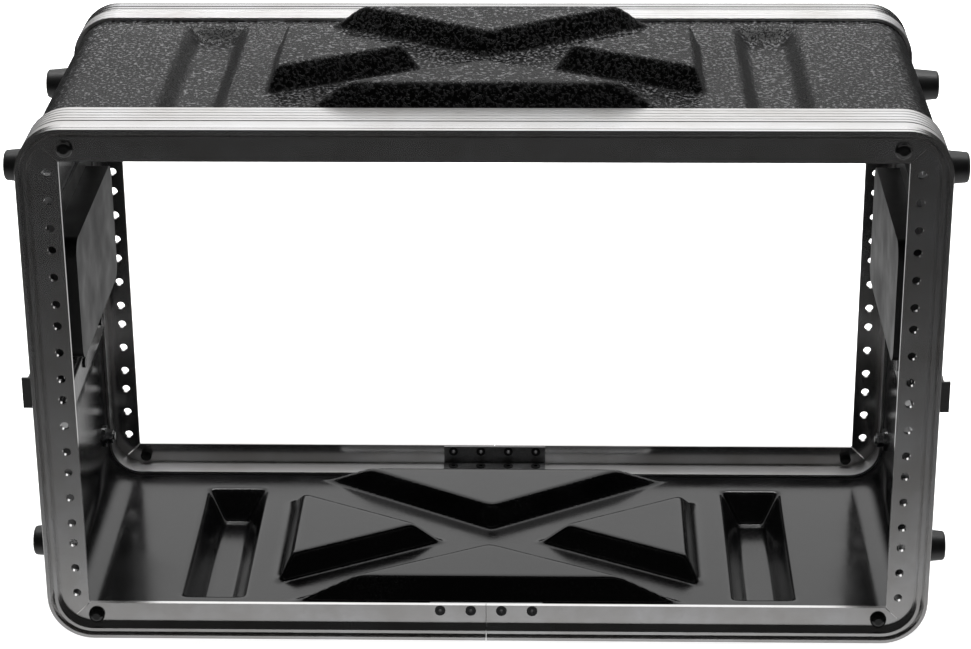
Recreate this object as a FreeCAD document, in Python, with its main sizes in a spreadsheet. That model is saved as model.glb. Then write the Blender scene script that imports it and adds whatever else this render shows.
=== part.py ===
"""Six-unit equipment rack case body.

Two vacuum-formed ABS half shells, lapped and riveted along the sides, are held at the front
and at the rear by bent aluminium frames that carry the tapped rack flanges.  Each side wall
has a recessed, sprung carrying handle and four rubber feet.

Frame of the model: X across the case, Y from front to rear, Z up.  The origin is the middle
of the case's footprint, at the level of the two ribs that it stands on.
"""
import FreeCAD, Part
import math
import os
import sys
import Sketcher

# Driving dimensions, in millimetres, degrees or counts.
DIMENSIONS = [
    ("rack_units", 6, "height of the rack opening in rack units"),
    ("unit_height", 44.45, "one rack unit"),
    ("hole_inset", 6.55, "rack holes from the flange's edge"),
    ("hole_edge", 6.35, "first hole of a unit above the unit's lower edge"),
    ("hole_step", 15.875, "between the next two holes of a unit"),
    ("hole_radius", 2.4, "rack hole, tapped for a number 10 screw"),
    ("opening_width", 452.0, "clear width between the flanges"),
    ("opening_spare", 0.3, "opening beyond the rack units, top and bottom"),
    ("frame_side", 22.7, "flange edge to outer face, at the sides"),
    ("frame_top", 19.9, "flange edge to outer face, top and bottom"),
    ("frame_corner", 25.4, "outer corner radius of the frames"),
    ("case_depth", 228.6, "front rim to rear rim"),
    ("front_lip", 5.7, "front rim proud of the front flange"),
    ("rear_lip", 13.4, "rear rim proud of the rear flange"),
    ("front_band", 36.7, "width of the front frame's outer band"),
    ("rear_band", 29.9, "width of the rear frame's outer band"),
    ("band_wall", 2.2, "thickness of the outer band"),
    ("flange_wall", 2.5, "thickness of the rack flange"),
    ("leg_wall", 1.6, "thickness of the inner leg behind the shell"),
    ("leg_length", 14.0, "inner leg behind the flange"),
    ("flange_root", 9.0, "outer face to the end of the bent flange root"),
    ("groove_width", 2.0, "lid groove inside the rim"),
    ("tongue_wall", 1.8, "rib beside the lid groove"),
    ("tongue_set", 1.0, "rib's top below the rim's"),
    ("step_height", 0.8, "small step beside the rib"),
    ("step_width", 1.2, "small step beside the rib"),
    ("line_half", 0.35, "fine line in the land, half width and depth"),
    ("groove_half", 0.8, "wide groove beside the land, half width at the face"),
    ("groove_floor", 0.5, "wide groove's floor, half width"),
    ("ridge_pitch", 4.3, "spacing of the grip ridges on the band"),
    ("ridge_count", 5, "ridges on each band"),
    ("ridge_depth", 0.55, "depth of the grooves between ridges"),
    ("land_line", 3.5, "fine line in the smooth land, from the rim"),
    ("seam_gap", 0.3, "butt seam of a bent frame"),
    ("miter_length", 11.0, "mitre cut of a flange corner"),
    ("edge_break", 0.4, "broken outer edges"),
    ("splice_pitch", 17.4, "between splice rivets"),
    ("splice_rivet", 2.1, "splice rivet barrel radius"),
    ("splice_bore", 1.2, "hollow of a splice rivet"),
    ("splice_wall", 1.5, "splice plate thickness"),
    ("splice_rise", 10.5, "splice plate up behind the flange"),
    ("splice_reach", 13.0, "splice plate along the inner leg"),
    ("splice_width", 64.0, "splice plate across the case"),
    ("splice_row", 3.5, "splice rivets below the flange edge"),
    ("splice_set", 0.3, "splice plate's top below the flange edge"),
    ("splice_head", 3.0, "splice rivet head radius"),
    ("splice_head_height", 0.4, "splice rivet head"),
    ("splice_tail", 2.8, "splice rivet's rolled tail radius"),
    ("splice_tail_height", 0.6, "splice rivet's rolled tail"),
    ("shell_wall", 3.0, "ABS sheet"),
    ("draft_wall", 2.2, "ABS sheet on the steep sides of the relief"),
    ("slot_gap", 0.2, "frame slot on each side of the sheet"),
    ("shell_end_gap", 0.5, "sheet edge to the bottom of the frame slot"),
    ("fit_gap", 0.1, "between pieces that are fastened together"),
    ("overshoot", 1.0, "cuts and joined solids run on past their faces"),
    ("relief_shift", -4.6, "middle of the moulded relief, front to rear"),
    ("plateau_height", 14.5, "raised plateaus above the top"),
    ("plateau_run", 5.0, "slope of a plateau's side, in plan"),
    ("end_apex", 25.5, "apex of a front or rear plateau from the middle"),
    ("front_base", 65.5, "base of the front plateau from the middle"),
    ("rear_base", 74.0, "base of the rear plateau from the middle"),
    ("end_half", 77.5, "half width of a front or rear plateau"),
    ("side_apex", 46.0, "apex of a side plateau from the middle"),
    ("side_base", 115.0, "base of a side plateau from the middle"),
    ("side_half", 38.0, "half width of a side plateau"),
    ("trench_depth", 7.5, "long trench in the top"),
    ("trench_middle", 160.0, "middle of a trench from the middle of the case"),
    ("trench_half", 19.2, "half width of a trench at the top"),
    ("trench_end", 79.0, "half length of a trench"),
    ("trench_run", 9.5, "slope of a trench's side, in plan"),
    ("pocket_depth", 12.5, "stacking pockets in the bottom"),
    ("pocket_run", 8.0, "slope of a stacking pocket's side, in plan"),
    ("pocket_play", 1.5, "stacking pocket round a plateau"),
    ("rib_height", 18.0, "foot ribs below the bottom"),
    ("rib_half", 20.5, "half width of a foot rib at the bottom sheet"),
    ("rib_run", 10.0, "slope of a foot rib's side, in plan"),
    ("rib_end", 71.0, "half length of a foot rib"),
    ("seam_drop", 44.0, "shell seam below the middle of the opening"),
    ("lap_height", 20.0, "lap of the lower shell behind the upper one"),
    ("lap_root", 8.0, "lap's root below the seam"),
    ("seam_rivet", 2.0, "seam rivet shank radius"),
    ("seam_head", 4.5, "seam rivet head radius"),
    ("seam_dome", 1.2, "seam rivet head height"),
    ("seam_tail", 3.15, "seam rivet's tail radius, inside"),
    ("seam_spacing", 62.0, "between seam rivets"),
    ("dome_share", 0.8, "rounded share of a domed head's height"),
    ("foot_radius", 9.8, "side foot"),
    ("foot_length", 16.7, "side foot"),
    ("foot_round", 3.0, "side foot's rounded edge"),
    ("foot_rise", 116.0, "side feet above and below the middle"),
    ("foot_spread", 69.5, "side feet before and behind the handle's middle"),
    ("foot_sink", 9.0, "depth of the recess for the foot's screw"),
    ("foot_sink_radius", 5.2, "recess for the foot's screw"),
    ("foot_screw", 2.5, "foot screw shank radius"),
    ("foot_head", 4.5, "foot screw head radius"),
    ("foot_head_height", 2.6, "foot screw head"),
    ("washer_radius", 7.0, "foot washer inside the wall"),
    ("washer_wall", 1.2, "foot washer"),
    ("nut_radius", 4.4, "nut, across corners halved"),
    ("nut_height", 4.0, "nut"),
    ("screw_tail", 1.2, "screw beyond its nut"),
    ("bumper_inset", 26.7, "corner plugs inside the frame's side"),
    ("bumper_drop", 12.55, "corner plugs inside the frame's top and bottom"),
    ("bumper_radius", 4.6, "corner plug head"),
    ("bumper_height", 3.2, "corner plug head"),
    ("bumper_stem", 2.4, "corner plug stem radius"),
    ("bumper_bulb", 3.4, "corner plug retaining bulb radius"),
    ("bumper_bulb_length", 3.0, "corner plug retaining bulb"),
    ("keeper_height", 18.0, "latch strike"),
    ("keeper_length", 22.0, "latch strike along the band"),
    ("keeper_wall", 1.6, "latch strike plate"),
    ("keeper_proud", 5.0, "latch strike's hook from the band"),
    ("keeper_inset", 1.0, "latch strike behind the rim"),
    ("keeper_hole", 13.2, "latch strike's rivets behind its front edge"),
    ("keeper_rivet", 1.6, "latch strike rivet radius"),
    ("keeper_rivet_head", 2.8, "latch strike rivet head radius"),
    ("keeper_rivet_dome", 0.9, "latch strike rivet head"),
    ("handle_rise", 32.0, "middle of the handle above the opening's middle"),
    ("handle_shift", 3.4, "middle of the handle, front to rear"),
    ("dish_half_y", 64.0, "half length of the handle dish's basin"),
    ("dish_half_z", 35.0, "half height of the handle dish's basin"),
    ("dish_floor", 229.6, "dish floor from the middle of the case"),
    ("dish_wall", 1.5, "dish sheet"),
    ("dish_rim", 12.0, "dish rim round the basin"),
    ("dish_corner", 8.0, "dish basin corner radius"),
    ("dish_screw_inset", 6.0, "dish screws inside the rim's edge"),
    ("dish_screw", 2.0, "dish screw shank radius"),
    ("dish_screw_head", 3.8, "dish screw head radius"),
    ("dish_screw_dome", 1.6, "dish screw head height"),
    ("small_nut", 3.6, "dish screw nut, across corners halved"),
    ("small_nut_height", 3.0, "dish screw nut"),
    ("backing_wall", 1.5, "steel backing plate"),
    ("pivot_drop", 9.0, "handle pivot below the top of the basin"),
    ("pivot_out", 238.4, "handle pivot from the middle of the case"),
    ("bail_radius", 3.2, "bail rod"),
    ("bail_bend", 4.2, "bend radius of the bail"),
    ("bail_reach", 44.0, "pivot to the middle of the grip"),
    ("bail_half", 48.0, "half width of the bail between its legs"),
    ("bail_end", 63.0, "bail end from the handle's middle"),
    ("pivot_play", 0.06, "bail in its pivot blocks, radially"),
    ("bracket_half", 5.6, "half height of a pivot block"),
    ("bracket_length", 6.0, "pivot block along the bail"),
    ("bracket_from", 53.0, "pivot block's inner end from the handle's middle"),
    ("bracket_out", 244.0, "pivot block's face from the middle of the case"),
    ("grip_radius", 7.4, "rubber grip"),
    ("grip_half", 36.0, "half length of the grip"),
    ("grip_round", 2.0, "rounded ends of the grip"),
    ("spring_wall", 1.0, "torsion spring wire"),
    ("spring_play", 0.35, "torsion spring round the bail"),
    ("spring_length", 3.4, "torsion spring"),
]

doc = FreeCAD.newDocument("rack_case")
sizes = doc.addObject("Spreadsheet::Sheet", "Sizes")
for row, (alias, number, meaning) in enumerate(DIMENSIONS, start=1):
    sizes.set("A%d" % row, meaning)
    sizes.set("B%d" % row, str(number))
    sizes.setAlias("B%d" % row, alias)
doc.recompute()

NAMES = sorted((alias for alias, number, meaning in DIMENSIONS), key=len, reverse=True)
NODES = []


def bind(text):
    """Turn the plain words of a formula into references to the sheet's cells."""
    words = []
    word = ""
    for letter in text + " ":
        if letter.isalnum() or letter == "_":
            word += letter
            continue
        words.append("Sizes." + word if word in NAMES else word)
        words.append(letter)
        word = ""
    return "".join(words).strip()


def value(text):
    """Present value of a formula."""
    return float(sizes.evalExpression(bind(text)))


def plus(*terms):
    """Sum of several formulas."""
    return " + ".join("(%s)" % term for term in terms)


def minus(first, second):
    """Difference of two formulas."""
    return "(%s) - (%s)" % (first, second)


# Places that several pieces share.
OPENING_X = "opening_width / 2"
OPENING_Z = "rack_units * unit_height / 2 + opening_spare"
OUTER_X = OPENING_X + " + frame_side"
OUTER_Z = OPENING_Z + " + frame_top"
SHELL_X = OUTER_X + " - band_wall - slot_gap"
SHELL_Z = OUTER_Z + " - band_wall - slot_gap"
MIDDLE_Z = SHELL_Z + " + rib_height"
SHELL_CORNER = "frame_corner - band_wall - slot_gap"
FRONT_RIM = "0 - case_depth / 2"
REAR_RIM = "case_depth / 2"
FRONT_FLANGE = "front_lip - case_depth / 2"
REAR_FLANGE = "case_depth / 2 - rear_lip - flange_wall"
SHELL_FRONT = FRONT_FLANGE + " + flange_wall + shell_end_gap"
SHELL_REAR = REAR_FLANGE + " - shell_end_gap"
SEAM_Z = minus(MIDDLE_Z, "seam_drop")
HANDLE_Z = plus(MIDDLE_Z, "handle_rise")
PIVOT_Z = HANDLE_Z + " + dish_half_z - pivot_drop"
INNER_X = SHELL_X + " - shell_wall"


def new_body(name, node=True):
    """Empty body; a node is written to its own file."""
    body = doc.addObject("PartDesign::Body", name)
    body.Label = name
    if node:
        NODES.append(body)
    return body


def new_sketch(body, name, axis, place):
    """Sketch square to an axis, at a place along it; it draws (X, Y), (X, Z) or (Y, Z)."""
    role = {"X": "YZ_Plane", "Y": "XZ_Plane", "Z": "XY_Plane"}[axis]
    plane = [item for item in body.Origin.OriginFeatures if item.Role == role][0]
    sketch = body.newObject("Sketcher::SketchObject", name)
    sketch.AttachmentSupport = [(plane, "")]
    sketch.MapMode = "FlatFace"
    sign = "-1" if axis == "Y" else "1"
    sketch.setExpression("AttachmentOffset.Base.z", bind("%s * (%s)" % (sign, place)))
    return sketch


def hold(sketch, kind, item, point, text):
    """Hold one coordinate of a point at a formula."""
    index = sketch.addConstraint(Sketcher.Constraint(kind, item, point, value(text)))
    sketch.setExpression("Constraints[%d]" % index, bind(text))


def draw_outline(sketch, corners, closed=True):
    """Straight lines through corners that are pairs of formulas."""
    places = [FreeCAD.Vector(value(first), value(second), 0) for first, second in corners]
    count = len(corners)
    first_line = sketch.GeometryCount
    lines = count if closed else count - 1
    for index in range(lines):
        line = Part.LineSegment(places[index], places[(index + 1) % count])
        sketch.addGeometry(line, False)
    for index in range(lines if closed else lines - 1):
        here = first_line + index
        after = first_line + (index + 1) % count
        sketch.addConstraint(Sketcher.Constraint("Coincident", here, 2, after, 1))
    for index, (first, second) in enumerate(corners):
        last = not closed and index == count - 1
        item, point = (first_line + index - 1, 2) if last else (first_line + index, 1)
        hold(sketch, "DistanceX", item, point, first)
        hold(sketch, "DistanceY", item, point, second)


def draw_rounded(sketch, corners, radius, closed=True):
    """Outline or open path through corners, each turned with a tangent arc of one radius."""
    places = [FreeCAD.Vector(value(first), value(second), 0) for first, second in corners]
    count = len(corners)
    size = value(radius)
    turns = range(count) if closed else range(1, count - 1)
    joins = {}
    for index in turns:
        here = places[index]
        back = (places[index - 1] - here).normalize()
        ahead = (places[(index + 1) % count] - here).normalize()
        half = back.getAngle(ahead) / 2
        reach = size / math.tan(half)
        centre = here + (back + ahead).normalize() * (size / math.sin(half))
        left = (back.cross(ahead)).z < 0
        joins[index] = (here + back * reach, here + ahead * reach, centre, left)
    lines = {}
    for index in range(count if closed else count - 1):
        after = (index + 1) % count
        start = joins[index][1] if index in joins else places[index]
        end = joins[after][0] if after in joins else places[after]
        lines[index] = sketch.addGeometry(Part.LineSegment(start, end), False)
    marks = {}
    for index, (first, second) in enumerate(corners):
        if index in joins:
            marks[index] = sketch.addGeometry(Part.Point(places[index]), True)
            hold(sketch, "DistanceX", marks[index], 1, first)
            hold(sketch, "DistanceY", marks[index], 1, second)
        else:
            item, point = (lines[index], 1) if index in lines else (lines[index - 1], 2)
            hold(sketch, "DistanceX", item, point, first)
            hold(sketch, "DistanceY", item, point, second)
    for index, (arrive, leave, centre, left) in joins.items():
        before = lines[(index - 1) % count]
        after = lines[index]
        start, end = (arrive, leave) if left else (leave, arrive)
        low = math.atan2(start.y - centre.y, start.x - centre.x)
        high = math.atan2(end.y - centre.y, end.x - centre.x)
        if high < low:
            high += 2 * math.pi
        circle = Part.Circle(centre, FreeCAD.Vector(0, 0, 1), size)
        arc = sketch.addGeometry(Part.ArcOfCircle(circle, low, high), False)
        sketch.addConstraint(Sketcher.Constraint("Tangent", before, 2, arc, 1 if left else 2))
        sketch.addConstraint(Sketcher.Constraint("Tangent", after, 1, arc, 2 if left else 1))
        sketch.addConstraint(Sketcher.Constraint("PointOnObject", marks[index], 1, before))
        sketch.addConstraint(Sketcher.Constraint("PointOnObject", marks[index], 1, after))
        radius_index = sketch.addConstraint(Sketcher.Constraint("Radius", arc, size))
        sketch.setExpression("Constraints[%d]" % radius_index, bind(radius))


def draw_circles(sketch, centres, radius):
    """Equal circles at pairs of formulas."""
    for first, second in centres:
        place = FreeCAD.Vector(value(first), value(second), 0)
        circle = Part.Circle(place, FreeCAD.Vector(0, 0, 1), value(radius))
        item = sketch.addGeometry(circle, False)
        hold(sketch, "DistanceX", item, 3, first)
        hold(sketch, "DistanceY", item, 3, second)
        index = sketch.addConstraint(Sketcher.Constraint("Radius", item, value(radius)))
        sketch.setExpression("Constraints[%d]" % index, bind(radius))


def rectangle(low_first, high_first, low_second, high_second):
    """Corners of a rectangle."""
    return [(low_first, low_second), (high_first, low_second),
            (high_first, high_second), (low_first, high_second)]


def around(half_first, middle, half_second):
    """Corners of a rectangle that is centred across and stands round a middle height."""
    return rectangle("0 - (%s)" % half_first, half_first,
                     minus(middle, half_second), plus(middle, half_second))


def extrude(body, name, sketch, axis, length, cut=False):
    """Pad or pocket from the sketch's place towards the axis's positive end."""
    volume = body.Shape.Volume if cut else 0.0
    kind = "PartDesign::Pocket" if cut else "PartDesign::Pad"
    feature = body.newObject(kind, name)
    feature.Profile = sketch
    feature.setExpression("Length", bind(length))
    feature.Reversed = (axis == "Y") != cut
    sketch.Visibility = False
    doc.recompute()
    if cut and body.Shape.Volume > volume - 1e-3:
        raise RuntimeError(name + " cuts nothing")
    return feature


def block(body, name, axis, place, length, corners, cut=False, radius=None):
    """Straight prism on an outline, with its corners rounded when a radius is given."""
    sketch = new_sketch(body, name + "_outline", axis, place)
    if radius is None:
        draw_outline(sketch, corners)
    else:
        draw_rounded(sketch, corners, radius)
    return extrude(body, name, sketch, axis, length, cut)


def drill(body, name, axis, place, length, centres, radius):
    """Equal round holes."""
    sketch = new_sketch(body, name + "_circles", axis, place)
    draw_circles(sketch, centres, radius)
    return extrude(body, name, sketch, axis, length, cut=True)


def ring(body, name, axis, place, length, outer, outer_radius, inner, inner_radius):
    """Prism between two outlines."""
    sketch = new_sketch(body, name + "_outline", axis, place)
    draw_rounded(sketch, outer, outer_radius)
    if inner_radius is None:
        draw_outline(sketch, inner)
    else:
        draw_rounded(sketch, inner, inner_radius)
    return extrude(body, name, sketch, axis, length)


def taper(body, name, low_place, low_corners, high_place, high_corners, cut=False):
    """Drafted block between two outlines at two heights."""
    volume = body.Shape.Volume
    low = new_sketch(body, name + "_low", "Z", low_place)
    draw_outline(low, low_corners)
    high = new_sketch(body, name + "_high", "Z", high_place)
    draw_outline(high, high_corners)
    kind = "PartDesign::SubtractiveLoft" if cut else "PartDesign::AdditiveLoft"
    loft = body.newObject(kind, name)
    loft.Profile = low
    loft.Sections = [high]
    loft.Ruled = True
    doc.recompute()
    if abs(body.Shape.Volume - volume) < 1e-3:
        raise RuntimeError(name + " changes nothing")
    return loft


def studs(name, axis, centres, steps, bore=None, node=True):
    """Like round pieces, each a stack of (low, high, radius) steps along one axis."""
    body = new_body(name, node)
    for number, (low, high, radius) in enumerate(steps):
        sketch = new_sketch(body, "%s_step_%d" % (name, number), axis, low)
        draw_circles(sketch, centres, radius)
        extrude(body, "%s_stack_%d" % (name, number), sketch, axis, minus(high, low))
    if bore:
        low, high, radius = bore
        drill(body, name + "_bore", axis, low, minus(high, low), centres, radius)
    return body


def round_rims(body, name, axis, place, circle_radius, radius):
    """Round the circular edges of one radius that lie at one place along an axis."""
    number = {"X": 0, "Y": 1, "Z": 2}[axis]
    base = body.Tip
    edges = []
    for index, edge in enumerate(body.Shape.Edges, start=1):
        curve = edge.Curve
        if not isinstance(curve, Part.Circle):
            continue
        if abs(curve.Radius - value(circle_radius)) > 1e-4:
            continue
        if abs(curve.Center[number] - value(place)) < 1e-4:
            edges.append("Edge%d" % index)
    fillet = body.newObject("PartDesign::Fillet", name)
    fillet.Base = (base, edges)
    fillet.setExpression("Radius", bind(radius))
    doc.recompute()
    return fillet


def mirror(source, name):
    """Left-hand copy of a right-hand piece."""
    copy = doc.addObject("Part::Mirroring", name)
    copy.Label = name
    copy.Source = source
    copy.Base = (0, 0, 0)
    copy.Normal = (1, 0, 0)
    NODES.append(copy)
    return copy


# ---------------------------------------------------------------- relief of top and bottom

def wedge(direction, apex, base, half, grow):
    """Corners of a plateau: an isosceles triangle that points at the case's middle.

    Growing it moves each side outwards by the same distance.  The apex moves by the growth
    over the sine of half the apex angle, and a base corner by the growth over the tangent of
    half the base angle.
    """
    slope = "atan((%s) / ((%s) - (%s)))" % (half, base, apex)
    tip = "(%s) - (%s) / sin(%s)" % (apex, grow, slope)
    wide = "(%s) + (%s) / tan((90 deg - (%s)) / 2)" % (half, grow, slope)
    far = plus(base, grow)
    sign = "-1" if direction in ("front", "left") else "1"
    tip = "%s * (%s)" % (sign, tip)
    far = "%s * (%s)" % (sign, far)
    if direction in ("front", "rear"):
        return [("0", plus("relief_shift", tip)),
                ("0 - (%s)" % wide, plus("relief_shift", far)),
                (wide, plus("relief_shift", far))]
    return [(tip, "relief_shift"),
            (far, minus("relief_shift", wide)),
            (far, plus("relief_shift", wide))]


WEDGES = [("rear", "end_apex", "rear_base", "end_half"),
          ("front", "end_apex", "front_base", "end_half"),
          ("left", "side_apex", "side_base", "side_half"),
          ("right", "side_apex", "side_base", "side_half")]


def slab(sign, middle, half_x, half_y):
    """Corners of a long rectangle beside the plateaus, left or right."""
    centre = "%s * (%s)" % (sign, middle)
    return rectangle(minus(centre, half_x), plus(centre, half_x),
                     minus("relief_shift", half_y), plus("relief_shift", half_y))


def shell_sleeve(body):
    """Straight sleeve between the two frames."""
    outer = around(SHELL_X, MIDDLE_Z, SHELL_Z)
    inner = around(INNER_X, MIDDLE_Z, SHELL_Z + " - shell_wall")
    ring(body, body.Label + "_sleeve", "Y", SHELL_FRONT, minus(SHELL_REAR, SHELL_FRONT),
         outer, SHELL_CORNER, inner, SHELL_CORNER + " - shell_wall")


FOOT_CENTRES = [("handle_shift %s foot_spread" % along, "%s %s foot_rise" % (MIDDLE_Z, up))
                for along in "-+" for up in "-+"]
DISH_SCREWS = [("handle_shift %s (dish_half_y + dish_rim - dish_screw_inset)" % along,
                "%s %s (dish_half_z + dish_rim - dish_screw_inset)" % (HANDLE_Z, up))
               for along in "-+" for up in "-+"]
SEAM_RIVETS = [("handle_shift + %d * seam_spacing" % step,
                plus(SEAM_Z, "lap_height / 2")) for step in (-1, 0, 1)]
LEFT_FACE = "0 - (%s) - overshoot" % OUTER_X
BOTH_SIDES = "2 * (%s) + 2 * overshoot" % OUTER_X


def handle_box(half_y, half_z, grow):
    """Rectangle round the handle's middle."""
    return rectangle("handle_shift - %s - (%s)" % (half_y, grow),
                     "handle_shift + %s + (%s)" % (half_y, grow),
                     HANDLE_Z + " - %s - (%s)" % (half_z, grow),
                     HANDLE_Z + " + %s + (%s)" % (half_z, grow))


def shell_side_cuts(body, feet):
    """Holes through both side walls: the handle dish, its screws, the feet and the seam."""
    name = body.Label
    if name == "upper_shell":
        basin = handle_box("dish_half_y", "dish_half_z", "dish_wall + fit_gap")
        block(body, name + "_dish_hole", "X", LEFT_FACE, BOTH_SIDES, basin, cut=True,
              radius="dish_corner + dish_wall + fit_gap")
        drill(body, name + "_dish_screws", "X", LEFT_FACE, BOTH_SIDES, DISH_SCREWS,
              "dish_screw + fit_gap")
    drill(body, name + "_foot_holes", "X", LEFT_FACE, BOTH_SIDES, feet, "foot_screw + fit_gap")
    drill(body, name + "_seam_holes", "X", LEFT_FACE, BOTH_SIDES, SEAM_RIVETS,
          "seam_rivet + fit_gap")


def make_upper_shell():
    """Top half: raised plateaus for stacking and two long trenches."""
    body = new_body("upper_shell")
    shell_sleeve(body)
    top = plus(MIDDLE_Z, SHELL_Z)
    inside = top + " - shell_wall"
    for side, apex, base, half in WEDGES:
        name = "plateau_" + side
        taper(body, name, top + " - shell_wall / 2", wedge(side, apex, base, half, "plateau_run"),
              top + " + plateau_height", wedge(side, apex, base, half, "0"))
        taper(body, name + "_hollow", inside + " - overshoot",
              wedge(side, apex, base, half, "plateau_run - draft_wall"),
              inside + " + plateau_height",
              wedge(side, apex, base, half, "0 - draft_wall"), cut=True)
    for side, sign in (("left", "-1"), ("right", "1")):
        name = "trench_" + side
        taper(body, name + "_back", inside + " - trench_depth",
              slab(sign, "trench_middle", "trench_half - trench_run + draft_wall",
                   "trench_end - trench_run + draft_wall"),
              inside + " + shell_wall / 2",
              slab(sign, "trench_middle", "trench_half + draft_wall", "trench_end + draft_wall"))
        taper(body, name, top + " - trench_depth",
              slab(sign, "trench_middle", "trench_half - trench_run", "trench_end - trench_run"),
              top + " + overshoot", slab(sign, "trench_middle", "trench_half", "trench_end"), cut=True)
    below = rectangle("0 - (%s)" % OUTER_X, OUTER_X, "0 - overshoot", SEAM_Z)
    block(body, "upper_shell_trim", "Y", FRONT_RIM, "case_depth", below, cut=True)
    shell_side_cuts(body, FOOT_CENTRES[1::2])
    return body


def make_lower_shell():
    """Bottom half: pockets that fit over a case below, ribs to stand on, and the side lap."""
    body = new_body("lower_shell")
    shell_sleeve(body)
    above = rectangle("0 - (%s)" % OUTER_X, OUTER_X, SEAM_Z, "%s + %s" % (MIDDLE_Z, OUTER_Z))
    block(body, "lower_shell_trim", "Y", FRONT_RIM, "case_depth", above, cut=True)
    bottom = minus(MIDDLE_Z, SHELL_Z)
    floor = bottom + " + shell_wall"
    for side, apex, base, half in WEDGES:
        name = "pocket_" + side
        grow = "plateau_run + pocket_play"
        taper(body, name + "_back", floor + " - shell_wall / 2",
              wedge(side, apex, base, half, grow + " + draft_wall"),
              floor + " + pocket_depth",
              wedge(side, apex, base, half, grow + " - pocket_run + draft_wall"))
        taper(body, name, bottom + " - overshoot", wedge(side, apex, base, half, grow),
              bottom + " + pocket_depth",
              wedge(side, apex, base, half, grow + " - pocket_run"), cut=True)
    for side, sign in (("left", "-1"), ("right", "1")):
        name = "rib_" + side
        taper(body, name, bottom + " - rib_height",
              slab(sign, "trench_middle", "rib_half - rib_run", "rib_end - rib_run"),
              bottom + " + shell_wall / 2", slab(sign, "trench_middle", "rib_half", "rib_end"))
        taper(body, name + "_hollow", floor + " - rib_height",
              slab(sign, "trench_middle", "rib_half - rib_run - draft_wall",
                   "rib_end - rib_run - draft_wall"),
              floor + " + overshoot",
              slab(sign, "trench_middle", "rib_half - draft_wall", "rib_end - draft_wall"),
              cut=True)
    face = INNER_X
    for side, sign in (("left", "-1"), ("right", "1")):
        lap = [(minus(face, "shell_wall"), minus(SEAM_Z, "lap_root")),
               (plus(face, "fit_gap"), minus(SEAM_Z, "lap_root")),
               (plus(face, "fit_gap"), SEAM_Z),
               (minus(face, "fit_gap"), SEAM_Z),
               (minus(face, "fit_gap"), plus(SEAM_Z, "lap_height")),
               (minus(face, "shell_wall"), plus(SEAM_Z, "lap_height"))]
        lap = [("%s * (%s)" % (sign, across), up) for across, up in lap]
        start = SHELL_FRONT + " + leg_length"
        block(body, "lap_" + side, "Y", start,
              "(%s) - leg_length - (%s)" % (SHELL_REAR, start), lap)
    shell_side_cuts(body, FOOT_CENTRES[0::2])
    return body


# ---------------------------------------------------------------- aluminium frames

def frame_section(place, band, lip):
    """Outline of the extrusion as (along, up) pairs, in the bottom rail.

    'place' turns a distance from the rim into a place along Y.  The outer face has a smooth
    land with one fine line, a wide groove, and ridges parted by V grooves.
    """
    points = [("0", "edge_break"), ("edge_break", "0"),
              ("land_line - line_half", "0"), ("land_line", "line_half"),
              ("land_line + line_half", "0")]
    wide = "%s - ridge_count * ridge_pitch" % band
    points += [(wide + " - groove_half", "0"), (wide + " - groove_floor", "ridge_depth"),
               (wide + " + groove_floor", "ridge_depth"), (wide + " + groove_half", "0")]
    for step in range(int(value("ridge_count")) - 1, 0, -1):
        here = "%s - %d * ridge_pitch" % (band, step)
        points += [(here + " - ridge_depth", "0"), (here, "ridge_depth"),
                   (here + " + ridge_depth", "0")]
    back = "%s + flange_wall" % lip
    leg_top = "band_wall + 2 * slot_gap + shell_wall"
    rib = "band_wall + groove_width"
    points += [(band + " - edge_break", "0"), (band, "edge_break"), (band, "band_wall"),
               (back, "band_wall"), (back, leg_top),
               (back + " + leg_length", leg_top), (back + " + leg_length", leg_top + " + leg_wall"),
               (back, leg_top + " + leg_wall"), (back, "flange_root"), (lip, "flange_root"),
               (lip, rib + " + tongue_wall + step_width"),
               (lip + " - step_height", rib + " + tongue_wall + step_width"),
               (lip + " - step_height", rib + " + tongue_wall"),
               ("tongue_set", rib + " + tongue_wall"), ("tongue_set", rib),
               (lip, rib), (lip, "band_wall"), ("0", "band_wall")]
    base = minus(MIDDLE_Z, OUTER_Z)
    return [(place(along), plus(base, up)) for along, up in points]


def rack_hole_heights():
    """Heights of the holes of one column: three to a rack unit, from the lowest unit up."""
    foot = minus(MIDDLE_Z, "rack_units * unit_height / 2")
    heights = []
    for unit in range(int(value("rack_units"))):
        for step in range(3):
            heights.append(plus(foot, "%d * unit_height + hole_edge + %d * hole_step"
                                % (unit, step)))
    return heights


SPLICE_STEPS = (-1.5, -0.5, 0.5, 1.5)
SPLICE_Z = "(%s) - (%s) - splice_row" % (MIDDLE_Z, OPENING_Z)
FLANGE_RIVETS = [("%s * splice_pitch" % step, SPLICE_Z) for step in SPLICE_STEPS]
PLUGS = [("%s * (%s - bumper_inset)" % (across, OUTER_X),
          "%s + (%s) * (%s - bumper_drop)" % (MIDDLE_Z, up, OUTER_Z))
         for across in ("-1", "1") for up in ("-1", "1")]
LEG_TOP = minus(MIDDLE_Z, OUTER_Z) + " + band_wall + 2 * slot_gap + shell_wall + leg_wall"


def leg_rivets(end):
    """Places of the rivets through the inner leg, as (X, Y)."""
    if end == "front":
        along = FRONT_FLANGE + " + flange_wall + splice_wall + (splice_reach - splice_wall) / 2"
    else:
        along = REAR_FLANGE + " - splice_wall - (splice_reach - splice_wall) / 2"
    return [("%s * splice_pitch" % step, along) for step in SPLICE_STEPS]


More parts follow.
